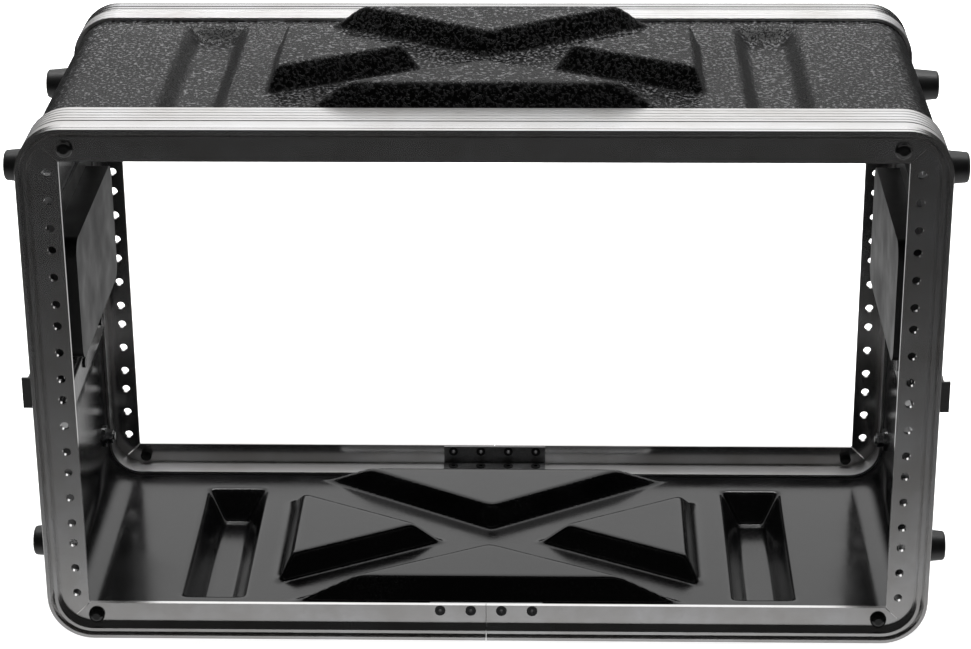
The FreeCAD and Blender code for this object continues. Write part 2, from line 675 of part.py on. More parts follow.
def make_frame(end):
    """Extrusion bent round the case with a butt seam at the bottom, and its rack flange."""
    front = end == "front"
    body = new_body(end + "_frame")
    name = body.Label
    band, lip = (end + "_band", end + "_lip")
    flange = FRONT_FLANGE if front else REAR_FLANGE

    def place(along):
        return plus(FRONT_RIM, along) if front else minus(REAR_RIM, along)

    profile = new_sketch(body, name + "_section", "X", "seam_gap / 2")
    draw_outline(profile, frame_section(place, band, lip))
    path = new_sketch(body, name + "_path", "Y", place("0"))
    low = minus(MIDDLE_Z, OUTER_Z)
    high = plus(MIDDLE_Z, OUTER_Z)
    left = "0 - (%s)" % OUTER_X
    route = [("seam_gap / 2", low), (OUTER_X, low), (OUTER_X, high), (left, high), (left, low),
             ("0 - seam_gap / 2", low)]
    draw_rounded(path, route, "frame_corner", closed=False)
    pipe = body.newObject("PartDesign::AdditivePipe", name + "_bend")
    pipe.Profile = profile
    pipe.Spine = (path, ["Edge%d" % (number + 1) for number in range(9)])
    doc.recompute()
    root = "flange_root - overshoot"
    ring(body, name + "_flange", "Y", flange, "flange_wall",
         around(OUTER_X + " - (%s)" % root, MIDDLE_Z, OUTER_Z + " - (%s)" % root),
         "frame_corner - (%s)" % root, around(OPENING_X, MIDDLE_Z, OPENING_Z), None)
    block(body, name + "_seam", "Y", flange, "flange_wall",
          rectangle("0 - seam_gap / 2", "seam_gap / 2", low, minus(MIDDLE_Z, OPENING_Z) + " + overshoot"),
          cut=True)
    for across, side in (("-1", "left"), ("1", "right")):
        for up, level in (("-1", "lower"), ("1", "upper")):
            corner_x = "%s * (%s)" % (across, OPENING_X)
            corner_z = "(%s) + (%s) * (%s)" % (MIDDLE_Z, up, OPENING_Z)
            slit = [("0 - overshoot", "0 - overshoot"), ("seam_gap", "0"),
                    ("miter_length / sqrt(2)", "miter_length / sqrt(2) - seam_gap"),
                    ("miter_length / sqrt(2) - seam_gap", "miter_length / sqrt(2)"),
                    ("0", "seam_gap")]
            slit = [("%s + (%s) * (%s)" % (corner_x, across, first),
                     "%s + (%s) * (%s)" % (corner_z, up, second)) for first, second in slit]
            block(body, "%s_miter_%s_%s" % (name, level, side), "Y", flange, "flange_wall",
                  slit, cut=True)
    columns = [("%s * (%s + hole_inset)" % (across, OPENING_X), up) for across in ("-1", "1")
               for up in rack_hole_heights()]
    drill(body, name + "_rack_holes", "Y", flange, "flange_wall", columns, "hole_radius")
    drill(body, name + "_plug_holes", "Y", flange, "flange_wall", PLUGS,
          "bumper_stem + fit_gap")
    drill(body, name + "_splice_holes", "Y", flange, "flange_wall", FLANGE_RIVETS,
          "splice_rivet + fit_gap")
    drill(body, name + "_leg_holes", "Z", LEG_TOP + " - leg_wall - fit_gap",
          "leg_wall + 2 * fit_gap", leg_rivets(end), "splice_rivet + fit_gap")
    return body


def make_splice(end):
    """Bent plate that joins the two ends of a frame behind the seam."""
    front = end == "front"
    body = new_body(end + "_splice_plate")
    name = body.Label
    face = FRONT_FLANGE + " + flange_wall" if front else REAR_FLANGE
    sign = "1" if front else "-1"
    foot = LEG_TOP
    head = minus(MIDDLE_Z, OPENING_Z) + " - splice_set"
    section = [("0", "0"), ("splice_reach", "0"), ("splice_reach", "splice_wall"),
               ("splice_wall", "splice_wall"), ("splice_wall", minus(head, foot)),
               ("0", minus(head, foot))]
    section = [("(%s) + (%s) * (%s)" % (face, sign, along), plus(foot, up))
               for along, up in section]
    block(body, name + "_bend", "X", "0 - splice_width / 2", "splice_width", section)
    wall = face if front else face + " - splice_wall"
    drill(body, name + "_flange_holes", "Y", wall, "splice_wall", FLANGE_RIVETS,
          "splice_rivet + fit_gap")
    drill(body, name + "_leg_holes", "Z", foot, "splice_wall", leg_rivets(end),
          "splice_rivet + fit_gap")
    return body


def make_splice_rivets(end):
    """Tubular rivets: four through the flange and four through the inner leg."""
    front = end == "front"
    outer = FRONT_FLANGE if front else REAR_FLANGE + " + flange_wall"
    sign = "1" if front else "-1"
    body = new_body(end + "_splice_rivets")
    name = body.Label

    def barrel(label, axis, low, high, radius, centres):
        sketch = new_sketch(body, "%s_%s_ring" % (name, label), axis, low)
        draw_circles(sketch, centres, radius)
        draw_circles(sketch, centres, "splice_bore")
        extrude(body, "%s_%s" % (name, label), sketch, axis, minus(high, low))

    def along(distance):
        return "(%s) + (%s) * (%s)" % (outer, sign, distance)

    stack = "flange_wall + splice_wall"
    ends = sorted([along("0"), along(stack)], key=value)
    barrel("barrels", "Y", ends[0], ends[1], "splice_rivet", FLANGE_RIVETS)
    ends = sorted([along("0"), along("0 - splice_head_height")], key=value)
    barrel("heads", "Y", ends[0], ends[1], "splice_head", FLANGE_RIVETS)
    ends = sorted([along(stack), along(stack + " + splice_tail_height")], key=value)
    barrel("tails", "Y", ends[0], ends[1], "splice_tail", FLANGE_RIVETS)
    top = LEG_TOP + " + splice_wall"
    barrel("leg_barrels", "Z", LEG_TOP + " - leg_wall", top, "splice_rivet", leg_rivets(end))
    barrel("leg_heads", "Z", top, top + " + splice_tail_height", "splice_head",
           leg_rivets(end))
    return body


def make_plugs(end):
    """Domed rubber plugs, pushed through the flange corners."""
    front = end == "front"
    outer = FRONT_FLANGE if front else REAR_FLANGE + " + flange_wall"
    sign = "1" if front else "-1"

    def step(first, second, radius):
        ends = ["(%s) + (%s) * (%s)" % (outer, sign, distance) for distance in (first, second)]
        ends.sort(key=value)
        return (ends[0], ends[1], radius)

    back = "flange_wall + fit_gap"
    body = studs(end + "_corner_bumpers", "Y", PLUGS, [
        step("0 - bumper_height", "0", "bumper_radius"),
        step("0", back, "bumper_stem"),
        step(back, back + " + bumper_bulb_length", "bumper_bulb")])
    round_rims(body, body.Label + "_dome", "Y",
               "(%s) - (%s) * bumper_height" % (outer, sign), "bumper_radius",
               "bumper_height * dome_share")
    return body


# ---------------------------------------------------------------- side feet and seam rivets

def make_side_feet():
    """Eight rubber feet, each on a screw with a washer and a nut inside the wall."""
    wall = SHELL_X
    places = [("rear" if "+ foot_spread" in along else "front",
               "upper" if "+ foot_rise" in up else "lower", (along, up))
              for along, up in FOOT_CENTRES]
    for depth, level, centre in places:
        name = "side_foot_%s_%s" % (depth, level)
        foot = studs(name + "_right", "X", [centre], [(wall, wall + " + foot_length",
                                                       "foot_radius")])
        drill(foot, name + "_sink", "X", wall + " + foot_length - foot_sink", "foot_sink",
              [centre], "foot_sink_radius")
        drill(foot, name + "_hole", "X", wall, "foot_length", [centre], "foot_screw + fit_gap")
        round_rims(foot, name + "_round", "X", wall + " + foot_length", "foot_radius",
                   "foot_round")
        mirror(foot, name + "_left")
    inside = INNER_X
    seat = wall + " + foot_length - foot_sink"
    washer = inside + " - washer_wall"
    nut = washer + " - nut_height"
    screws = studs("foot_screws_right", "X", FOOT_CENTRES, [
        (nut + " - screw_tail", seat, "foot_screw"),
        (seat, seat + " + foot_head_height", "foot_head")])
    mirror(screws, "foot_screws_left")
    washers = studs("foot_washers_right", "X", FOOT_CENTRES,
                    [(washer, inside, "washer_radius")],
                    bore=(washer, inside, "foot_screw + fit_gap"))
    mirror(washers, "foot_washers_left")
    nuts = make_nuts("foot_nuts_right", FOOT_CENTRES, nut, washer, "nut_radius", "foot_screw")
    mirror(nuts, "foot_nuts_left")


def make_nuts(name, centres, low, high, radius, shank):
    """Hexagon nuts square to the side wall."""
    body = new_body(name)
    sketch = new_sketch(body, name + "_hexagons", "X", low)
    for along, up in centres:
        corners = [("(%s) + %s * cos(%d)" % (along, radius, 60 * turn),
                    "(%s) + %s * sin(%d)" % (up, radius, 60 * turn)) for turn in range(6)]
        draw_outline(sketch, corners)
    extrude(body, name + "_pad", sketch, "X", minus(high, low))
    drill(body, name + "_bore", "X", low, minus(high, low), centres, shank + " + fit_gap")
    return body


def make_seam_rivets():
    """Blind rivets through the lap of the two shells."""
    inner = INNER_X + " - shell_wall"
    body = studs("seam_rivets_right", "X", SEAM_RIVETS, [
        (inner + " - seam_dome", inner, "seam_tail"),
        (inner, SHELL_X, "seam_rivet"),
        (SHELL_X, SHELL_X + " + seam_dome", "seam_head")])
    round_rims(body, "seam_rivets_dome", "X", SHELL_X + " + seam_dome", "seam_head",
               "seam_dome * dome_share")
    mirror(body, "seam_rivets_left")


# ---------------------------------------------------------------- latch strikes

def make_keepers():
    """Steel strikes on the frames' sides, where the lids' latches hook on."""
    for end in ("front", "rear"):
        front = end == "front"
        sign = "1" if front else "-1"
        rim = FRONT_RIM if front else REAR_RIM
        body = new_body("keeper_%s_right" % end)
        section = [("keeper_inset", "0"), ("keeper_inset + keeper_length", "0"),
                   ("keeper_inset + keeper_length", "keeper_wall"),
                   ("keeper_inset + keeper_wall", "keeper_wall"),
                   ("keeper_inset + keeper_wall", "keeper_proud"),
                   ("keeper_inset", "keeper_proud")]
        section = [(plus(OUTER_X, out), "(%s) + (%s) * (%s)" % (rim, sign, along))
                   for along, out in section]
        low = minus(MIDDLE_Z, "keeper_height / 2")
        block(body, body.Label + "_bend", "Z", low, "keeper_height", section)
        along = "(%s) + (%s) * (keeper_inset + keeper_hole)" % (rim, sign)
        centres = [(along, "%s %s keeper_height / 4" % (MIDDLE_Z, up)) for up in "-+"]
        drill(body, body.Label + "_holes", "X", OUTER_X, "keeper_wall", centres,
              "keeper_rivet + fit_gap")
        mirror(body, "keeper_%s_left" % end)
        plate = OUTER_X + " + keeper_wall"
        rivets = studs("keeper_rivets_%s_right" % end, "X", centres, [
            (OUTER_X, plate, "keeper_rivet"),
            (plate, plate + " + keeper_rivet_dome", "keeper_rivet_head")])
        round_rims(rivets, rivets.Label + "_dome", "X", plate + " + keeper_rivet_dome",
                   "keeper_rivet_head", "keeper_rivet_dome * dome_share")
        mirror(rivets, "keeper_rivets_%s_left" % end)


# ---------------------------------------------------------------- side handles

def make_handle():
    """Recessed handle: dish, backing plate, pivot blocks, sprung bail and grip."""
    face = SHELL_X + " + fit_gap"
    dish = new_body("handle_dish_right")
    block(dish, "dish_rim_plate", "X", face, "dish_wall",
          handle_box("dish_half_y", "dish_half_z", "dish_rim"), radius="dish_corner")
    block(dish, "dish_basin", "X", "dish_floor - dish_wall",
          face + " - (dish_floor - dish_wall)",
          handle_box("dish_half_y", "dish_half_z", "dish_wall"),
          radius="dish_corner + dish_wall")
    block(dish, "dish_hollow", "X", "dish_floor", face + " + dish_wall - dish_floor",
          handle_box("dish_half_y", "dish_half_z", "0"), cut=True, radius="dish_corner")
    drill(dish, "dish_screw_holes", "X", face, "dish_wall", DISH_SCREWS,
          "dish_screw + fit_gap")
    mirror(dish, "handle_dish_left")

    backing = new_body("handle_backing_right")
    inner = INNER_X + " - fit_gap"
    sketch = new_sketch(backing, "backing_outline", "X", inner + " - backing_wall")
    draw_rounded(sketch, handle_box("dish_half_y", "dish_half_z", "dish_rim"), "dish_corner")
    draw_rounded(sketch, handle_box("dish_half_y", "dish_half_z", "dish_wall + fit_gap"),
                 "dish_corner + dish_wall + fit_gap")
    extrude(backing, "backing_plate", sketch, "X", "backing_wall")
    drill(backing, "backing_holes", "X", inner + " - backing_wall", "backing_wall",
          DISH_SCREWS, "dish_screw + fit_gap")
    mirror(backing, "handle_backing_left")

    outer = face + " + dish_wall"
    nut_seat = inner + " - backing_wall"
    screws = studs("handle_screws_right", "X", DISH_SCREWS, [
        (nut_seat + " - small_nut_height - screw_tail", outer, "dish_screw"),
        (outer, outer + " + dish_screw_dome", "dish_screw_head")])
    round_rims(screws, "handle_screws_dome", "X", outer + " + dish_screw_dome",
               "dish_screw_head", "dish_screw_dome * dome_share")
    mirror(screws, "handle_screws_left")
    nuts = make_nuts("handle_nuts_right", DISH_SCREWS, nut_seat + " - small_nut_height",
                     nut_seat, "small_nut", "dish_screw")
    mirror(nuts, "handle_nuts_left")

    brackets = new_body("handle_brackets_right")
    for along, sign in (("front", "-1"), ("rear", "1")):
        ends = ["handle_shift + (%s) * (bracket_from + %s)" % (sign, more)
                for more in ("0", "bracket_length")]
        block(brackets, "bracket_" + along, "Y", sorted(ends, key=value)[0], "bracket_length",
              rectangle("dish_floor", "bracket_out", PIVOT_Z + " - bracket_half",
                        PIVOT_Z + " + bracket_half"))
    drill(brackets, "bracket_bores", "Y", "handle_shift - dish_half_y", "2 * dish_half_y",
          [("pivot_out", PIVOT_Z)], "bail_radius + pivot_play")
    mirror(brackets, "handle_brackets_left")

    bail = new_body("handle_bail_right")
    path = new_sketch(bail, "bail_path", "X", "pivot_out")
    low = PIVOT_Z + " - bail_reach"
    front_end = "handle_shift - bail_end"
    rear_end = "handle_shift + bail_end"
    front_leg = "handle_shift - bail_half"
    rear_leg = "handle_shift + bail_half"
    route = [(front_end, PIVOT_Z), (front_leg, PIVOT_Z), (front_leg, low), (rear_leg, low),
             (rear_leg, PIVOT_Z), (rear_end, PIVOT_Z)]
    draw_rounded(path, route, "bail_bend", closed=False)
    section = new_sketch(bail, "bail_section", "Y", front_end)
    draw_circles(section, [("pivot_out", PIVOT_Z)], "bail_radius")
    pipe = bail.newObject("PartDesign::AdditivePipe", "bail_rod")
    pipe.Profile = section
    pipe.Spine = (path, ["Edge%d" % (number + 1) for number in range(9)])
    doc.recompute()
    mirror(bail, "handle_bail_left")

    grip = studs("handle_grip_right", "Y", [("pivot_out", low)], [
        ("handle_shift - grip_half", "handle_shift + grip_half", "grip_radius")],
        bore=("handle_shift - grip_half", "handle_shift + grip_half", "bail_radius + fit_gap / 2"))
    round_rims(grip, "grip_front_round", "Y", "handle_shift - grip_half", "grip_radius",
               "grip_round")
    round_rims(grip, "grip_rear_round", "Y", "handle_shift + grip_half", "grip_radius",
               "grip_round")
    mirror(grip, "handle_grip_left")

    springs = new_body("handle_springs_right")
    for along, sign in (("front", "-1"), ("rear", "1")):
        ends = ["handle_shift + (%s) * (bracket_from + bracket_length + %s)" % (sign, more)
                for more in ("fit_gap", "fit_gap + spring_length")]
        ends.sort(key=value)
        coil = new_sketch(springs, "spring_ring_" + along, "Y", ends[0])
        draw_circles(coil, [("pivot_out", PIVOT_Z)], "bail_radius + spring_play + spring_wall")
        draw_circles(coil, [("pivot_out", PIVOT_Z)], "bail_radius + spring_play")
        extrude(springs, "spring_" + along, coil, "Y", minus(ends[1], ends[0]))
    mirror(springs, "handle_springs_left")


make_upper_shell()
make_lower_shell()
for case_end in ("front", "rear"):
    make_frame(case_end)
    make_splice(case_end)
    make_splice_rivets(case_end)
    make_plugs(case_end)
make_side_feet()
make_seam_rivets()
make_keepers()
make_handle()
doc.recompute()

faults = []
for item in doc.Objects:
    if "Invalid" in item.State or "Error" in item.State:
        faults.append("%s is %s" % (item.Label, item.State))
for node in NODES:
    if node.Shape.isNull() or not node.Shape.isValid():
        faults.append(node.Label + " has no valid shape")
if faults:
    print("\n".join(faults))
    sys.exit(1)

os.makedirs("parts", exist_ok=True)
for node in NODES:
    node.Shape.exportStep(os.path.join("parts", node.Label + ".step"))
    print("%-28s %d solid(s) %10.1f mm3" % (node.Label, len(node.Shape.Solids), node.Shape.Volume))
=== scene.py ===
import math

import bpy
import numpy as np
from mathutils import Matrix, Vector


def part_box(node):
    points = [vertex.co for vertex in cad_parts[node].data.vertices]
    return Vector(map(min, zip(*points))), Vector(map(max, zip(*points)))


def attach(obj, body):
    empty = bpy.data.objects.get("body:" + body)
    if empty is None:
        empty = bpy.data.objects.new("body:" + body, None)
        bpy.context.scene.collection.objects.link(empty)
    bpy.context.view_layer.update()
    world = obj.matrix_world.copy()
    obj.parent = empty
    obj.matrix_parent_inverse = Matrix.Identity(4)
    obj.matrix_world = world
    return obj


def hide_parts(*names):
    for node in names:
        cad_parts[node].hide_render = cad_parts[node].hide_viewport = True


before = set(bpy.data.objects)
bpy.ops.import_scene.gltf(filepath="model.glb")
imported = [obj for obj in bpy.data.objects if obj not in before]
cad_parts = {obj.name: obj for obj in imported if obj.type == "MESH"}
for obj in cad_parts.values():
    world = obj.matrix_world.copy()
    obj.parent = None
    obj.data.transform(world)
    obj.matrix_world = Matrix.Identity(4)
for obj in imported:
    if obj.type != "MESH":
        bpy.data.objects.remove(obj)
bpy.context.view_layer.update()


# ---------------------------------------------------------------- upper half shell
# Black ABS sheet, vacuum formed: the mould gives it a haircell grain outside, and the sheet's
# own gloss is left inside.  Four raised plateaus with an X of valleys between them key into
# the case above, and two trenches take its foot ribs.

MM = 0.001
SHEET_WALL = 3.0 * MM
SHELL_CORNER = 23.0 * MM
RELIEF_SHIFT = -4.6 * MM
PLATEAU_HEIGHT = 14.5 * MM
PLATEAU_RUN = 5.0 * MM
END_APEX = 25.5 * MM
FRONT_BASE = 65.5 * MM
REAR_BASE = 74.0 * MM
END_HALF = 77.5 * MM
SIDE_APEX = 46.0 * MM
SIDE_BASE = 115.0 * MM
SIDE_HALF = 38.0 * MM
TRENCH_DEPTH = 7.5 * MM
TRENCH_MIDDLE = 160.0 * MM
TRENCH_HALF = 19.2 * MM
TRENCH_END = 79.0 * MM
TRENCH_RUN = 9.5 * MM
EDGE_SOFTNESS = 0.55 * MM
PLAN_ROUNDING = 1.3 * MM
FINE_STEP = 1.45 * MM
COARSE_STEP = 4.0 * MM
SIDE_STEP = 8.0 * MM
DISH_COVER = 10.4 * MM
CORNER_STEPS = 12
CONTOUR_STEP = 1.0 * MM
STRAIGHT_SLOPE = 0.97


def outline(corners, angle=0.0, middle=(0.0, RELIEF_SHIFT)):
    """Corners given as (ahead, aside), turned by an angle about the relief's middle."""
    turn = np.array([[math.cos(angle), math.sin(angle)], [-math.sin(angle), math.cos(angle)]])
    return np.array(corners) @ turn + np.array(middle)


def triangle(apex, base, half):
    """Plateau outline that points back at the middle, counter-clockwise."""
    return [(apex, 0.0), (base, -half), (base, half)]


def bar(half_x, half_y):
    """Rectangle about a middle, counter-clockwise."""
    return [(-half_x, -half_y), (half_x, -half_y), (half_x, half_y), (-half_x, half_y)]


WEDGES = [outline(triangle(SIDE_APEX, SIDE_BASE, SIDE_HALF), 0.0),
          outline(triangle(END_APEX, REAR_BASE, END_HALF), math.pi / 2),
          outline(triangle(SIDE_APEX, SIDE_BASE, SIDE_HALF), math.pi),
          outline(triangle(END_APEX, FRONT_BASE, END_HALF), -math.pi / 2)]
TRENCHES = [outline(bar(TRENCH_HALF, TRENCH_END), 0.0, (side * TRENCH_MIDDLE, RELIEF_SHIFT))
            for side in (-1, 1)]


def depth_inside(x, y, outlines):
    """Distance inside the nearest of several convex outlines, negative outside.

    Inside one outline it is the smooth minimum of the distances from its sides, which rounds
    the outline's corners; the deepest of the outlines counts.
    """
    depths = []
    for corners in outlines:
        after = np.roll(corners, -1, axis=0)
        sides = []
        for (ax, ay), (bx, by) in zip(corners, after):
            length = math.hypot(bx - ax, by - ay)
            sides.append(((bx - ax) * (y - ay) - (by - ay) * (x - ax)) / length)
        pull = np.logaddexp.reduce([-side / PLAN_ROUNDING for side in sides], axis=0)
        depths.append(-PLAN_ROUNDING * pull)
    return np.maximum.reduce(depths)


def soft_ramp(distance, run, softness=EDGE_SOFTNESS):
    """Share of the full height after a distance up a slope: a straight ramp with both ends
    rounded, as the difference of two softplus curves."""
    start = softness * np.logaddexp(0.0, distance / softness)
    end = softness * np.logaddexp(0.0, (distance - run) / softness)
    return (start - end) / run


def top_relief(x, y):
    """Height of the outer face above the flat top: the plateaus less the trenches."""
    raised = soft_ramp(depth_inside(x, y, WEDGES) + PLATEAU_RUN, PLATEAU_RUN)
    sunk = soft_ramp(depth_inside(x, y, TRENCHES), TRENCH_RUN)
    return PLATEAU_HEIGHT * raised - TRENCH_DEPTH * sunk


def divide(stops, steps):
    """Places from stop to stop, each stretch divided evenly by about its own step."""
    runs = [np.linspace(low, high, math.ceil((high - low) / step), endpoint=False)
            for low, high, step in zip(stops, stops[1:], steps)]
    return np.concatenate(runs + [[stops[-1]]])


def along_walls(x, y, outlines, contours):
    """Grid points near a wall, slid square to it onto the nearest of its contours, so that
    the mesh's edges run along the wall's edges."""
    nudge = 0.01 * MM
    depth = depth_inside(x, y, outlines)
    slope_x = (depth_inside(x + nudge, y, outlines) - depth) / nudge
    slope_y = (depth_inside(x, y + nudge, outlines) - depth) / nudge
    gap = contours[1] - contours[0]
    near = (depth > contours[0] - gap / 2) & (depth < contours[-1] + gap / 2)
    straight = np.hypot(slope_x, slope_y) > STRAIGHT_SLOPE
    nearest = contours[np.abs(depth[..., None] - contours).argmin(axis=-1)]
    slide = np.where(near & straight, nearest - depth, 0.0)
    return x + slide * slope_x, y + slide * slope_y


def bent_section(half_width, level, corner, across, uprights):
    """Section of a half shell from its left edge, round two corner arcs, to its right edge.

    The uprights run from the edge to the arc's centre, and the arcs bend towards the level.
    """
    toward = math.copysign(1.0, level - uprights[0])
    angles = np.linspace(math.pi, math.pi / 2, CORNER_STEPS + 1)[1:-1]
    arc_x = corner - half_width + corner * np.cos(angles)
    arc_z = level - toward * corner + toward * corner * np.sin(angles)
    side_x = np.full(len(uprights), -half_width)
    x = np.concatenate([side_x, arc_x, across, -arc_x[::-1], -side_x])
    z = np.concatenate([uprights, arc_z, np.full(len(across), level), arc_z[::-1],
                        uprights[::-1]])
    return x, z


def grid_cells(points, kept):
    """Triangles of the kept cells, each cell cut along the diagonal that is nearer to level."""
    rows, columns = points.shape[:2]
    index = np.arange(rows * columns).reshape(rows, columns)
    corners = [index[:-1, :-1], index[1:, :-1], index[1:, 1:], index[:-1, 1:]]
    a, b, c, d = [corner[kept] for corner in corners]
    height = points[..., 2].ravel()
    flat_ac = (np.abs(height[a] - height[c]) <= np.abs(height[b] - height[d]))[:, None]
    first = np.where(flat_ac, np.stack([a, b, c], axis=1), np.stack([a, b, d], axis=1))
    second = np.where(flat_ac, np.stack([a, c, d], axis=1), np.stack([b, c, d], axis=1))
    return np.concatenate([first, second])


def new_piece(name, points, faces, materials, body, nodes):
    """Smooth mesh piece that rides on a body and stands for CAD nodes."""
    used, faces = np.unique(np.asarray(faces), return_inverse=True)
    faces = faces.reshape(-1, 3) if faces.ndim == 1 else faces
    mesh = bpy.data.meshes.new(name)
    mesh.from_pydata(points.reshape(-1, 3)[used].tolist(), [], faces.tolist())
    mesh.polygons.foreach_set("use_smooth", np.ones(len(mesh.polygons), dtype=bool))
    for material in materials:
        mesh.materials.append(material)
    piece = bpy.data.objects.new(name, mesh)
    bpy.context.scene.collection.objects.link(piece)
    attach(piece, body)
    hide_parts(*nodes)
    return piece


def thicken(piece, wall):
    """Give a sheet its wall, on the side away from its faces; the new face takes the second
    material."""
    solid = piece.modifiers.new("wall", "SOLIDIFY")
    solid.thickness = wall
    solid.offset = -1.0
    solid.material_offset = 1
    solid.material_offset_rim = 1


def linear(hex_value):
    """Linear RGBA of an sRGB hex colour."""
    shares = np.array([int(hex_value[place:place + 2], 16) for place in (0, 2, 4)]) / 255
    curve = np.where(shares <= 0.04045, shares / 12.92, ((shares + 0.055) / 1.055) ** 2.4)
    return (*curve.tolist(), 1.0)


def add_node(material, kind, inputs, **settings):
    """New shader node with its settings; an input is a socket to link or a value to set."""
    tree = material.node_tree
    node = tree.nodes.new(kind)
    for name, setting in settings.items():
        setattr(node, name, setting)
    for name, given in inputs.items():
        if isinstance(given, bpy.types.NodeSocket):
            tree.links.new(given, node.inputs[name])
        else:
            node.inputs[name].default_value = given
    return node


def new_material(name, **values):
    """Material with constant values on its shader; returns it, its shader and the piece's own
    coordinates in metres."""
    material = bpy.data.materials.new(name)
    material.use_nodes = True
    shader = material.node_tree.nodes["Principled BSDF"]
    for socket, given in values.items():
        shader.inputs[socket.replace("_", " ")].default_value = given
    place = add_node(material, "ShaderNodeTexCoord", {}).outputs["Object"]
    return material, shader, place


def finish_with(material, shader, **sockets):
    """Link patterns to the shader's sockets."""
    for socket, given in sockets.items():
        material.node_tree.links.new(given, shader.inputs[socket.replace("_", " ")])
    return material


HAIRCELL = 2.0 * MM
HAIRCELL_DEPTH = 1.0 * MM
HAIRCELL_IOR = 1.25
WALL_TIP_LIGHT = 0.12


def haircell_abs():
    """Vacuum-formed black ABS, grained side: small irregular pebbles.  Their tips are drawn
    paler on the flats than on the walls, which stands for the light that the real grain
    catches there.  The pebbles look about 1 mm and are drawn larger so that they show."""
    material, shader, place = new_material("haircell_abs", IOR=HAIRCELL_IOR)
    pebbles = add_node(material, "ShaderNodeTexNoise",
                       {"Vector": place, "Scale": 1 / HAIRCELL, "Detail": 2.0,
                        "Roughness": 0.7})
    tips = add_node(material, "ShaderNodeMapRange",
                    {"Value": pebbles.outputs["Fac"], "From Min": 0.5, "From Max": 0.61})
    # Painted highlight: the tips are painted paler on level faces than on walls, for light
    # falling from above.
    level = add_node(material, "ShaderNodeAttribute", {}, attribute_name="level")
    tip_light = add_node(material, "ShaderNodeMapRange",
                     {"Value": level.outputs["Fac"], "To Min": WALL_TIP_LIGHT, "To Max": 1.0})
    lit_tips = add_node(material, "ShaderNodeMath",
                         {0: tips.outputs["Result"], 1: tip_light.outputs["Result"]},
                         operation="MULTIPLY")
    worn = add_node(material, "ShaderNodeTexNoise",
                    {"Vector": place, "Scale": 1 / (60 * MM), "Detail": 4.0})
    shade = add_node(material, "ShaderNodeMixRGB",
                     {"Fac": lit_tips.outputs["Value"], "Color1": linear("020202"),
                      "Color2": linear("8e8e8f")})
    cloud = add_node(material, "ShaderNodeMapRange",
                     {"Value": worn.outputs["Fac"], "To Min": 0.28, "To Max": 0.42})
    relief = add_node(material, "ShaderNodeBump",
                      {"Height": tips.outputs["Result"], "Strength": 1.0,
                       "Distance": HAIRCELL_DEPTH})
    return finish_with(material, shader, Base_Color=shade.outputs["Color"],
                       Roughness=cloud.outputs["Result"], Normal=relief.outputs["Normal"])


def gloss_abs():
    """The same sheet's smooth side: glossy, faintly rippled by the drawing, with a little
    dust in patches."""
    material, shader, place = new_material("gloss_abs", IOR=1.46)
    ripple = add_node(material, "ShaderNodeTexNoise",
                      {"Vector": place, "Scale": 1 / (7 * MM), "Detail": 2.0})
    dust = add_node(material, "ShaderNodeTexNoise",
                    {"Vector": place, "Scale": 1 / (1.5 * MM), "Detail": 5.0})
    patch = add_node(material, "ShaderNodeTexNoise",
                     {"Vector": place, "Scale": 1 / (45 * MM), "Detail": 3.0})
    dusty = add_node(material, "ShaderNodeMath",
                     {0: dust.outputs["Fac"], 1: patch.outputs["Fac"]}, operation="MULTIPLY")
    shade = add_node(material, "ShaderNodeMapRange",
                     {"Value": dusty.outputs["Value"], "From Min": 0.22, "From Max": 0.42})
    colour = add_node(material, "ShaderNodeMixRGB",
                      {"Fac": shade.outputs["Result"], "Color1": linear("0c0c0d"),
                       "Color2": linear("202021")})
    rough = add_node(material, "ShaderNodeMapRange",
                     {"Value": dusty.outputs["Value"], "From Min": 0.15, "From Max": 0.45,
                      "To Min": 0.13, "To Max": 0.26})
    relief = add_node(material, "ShaderNodeBump",
                      {"Height": ripple.outputs["Fac"], "Strength": 0.25,
                       "Distance": 0.1 * MM})
    return finish_with(material, shader, Base_Color=colour.outputs["Color"],
                       Roughness=rough.outputs["Result"], Normal=relief.outputs["Normal"])


grained, glossy = haircell_abs(), gloss_abs()
upper_low, upper_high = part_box("upper_shell")
dish_low, dish_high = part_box("handle_dish_right")
top_level = upper_high.z - PLATEAU_HEIGHT
flat_half = upper_high.x - SHELL_CORNER
relief_half = SIDE_BASE + PLATEAU_RUN + 3 * MM
trench_near = TRENCH_MIDDLE - TRENCH_HALF - 3 * MM
trench_far = TRENCH_MIDDLE + TRENCH_HALF + 3 * MM
ACROSS = divide([-flat_half, -trench_far, -trench_near, -relief_half,
                 relief_half, trench_near, trench_far, flat_half],
                [COARSE_STEP, FINE_STEP, COARSE_STEP, FINE_STEP,
                 COARSE_STEP, FINE_STEP, COARSE_STEP])
ROWS = divide([upper_low.y, RELIEF_SHIFT - REAR_BASE - PLATEAU_RUN,
               dish_low.y + DISH_COVER, dish_high.y - DISH_COVER,
               RELIEF_SHIFT + REAR_BASE + 2 * PLATEAU_RUN, upper_high.y],
              [COARSE_STEP, FINE_STEP, FINE_STEP, FINE_STEP, COARSE_STEP])
uprights = divide([upper_low.z, dish_low.z + DISH_COVER, dish_high.z - DISH_COVER,
                   top_level - SHELL_CORNER], [SIDE_STEP] * 3)
section_x, section_z = bent_section(upper_high.x, top_level, SHELL_CORNER, ACROSS, uprights)


def on_flat(x, half, changed, unchanged):
    """Values changed only where the section is flat."""
    return np.where(np.abs(x) <= half, changed, unchanged)


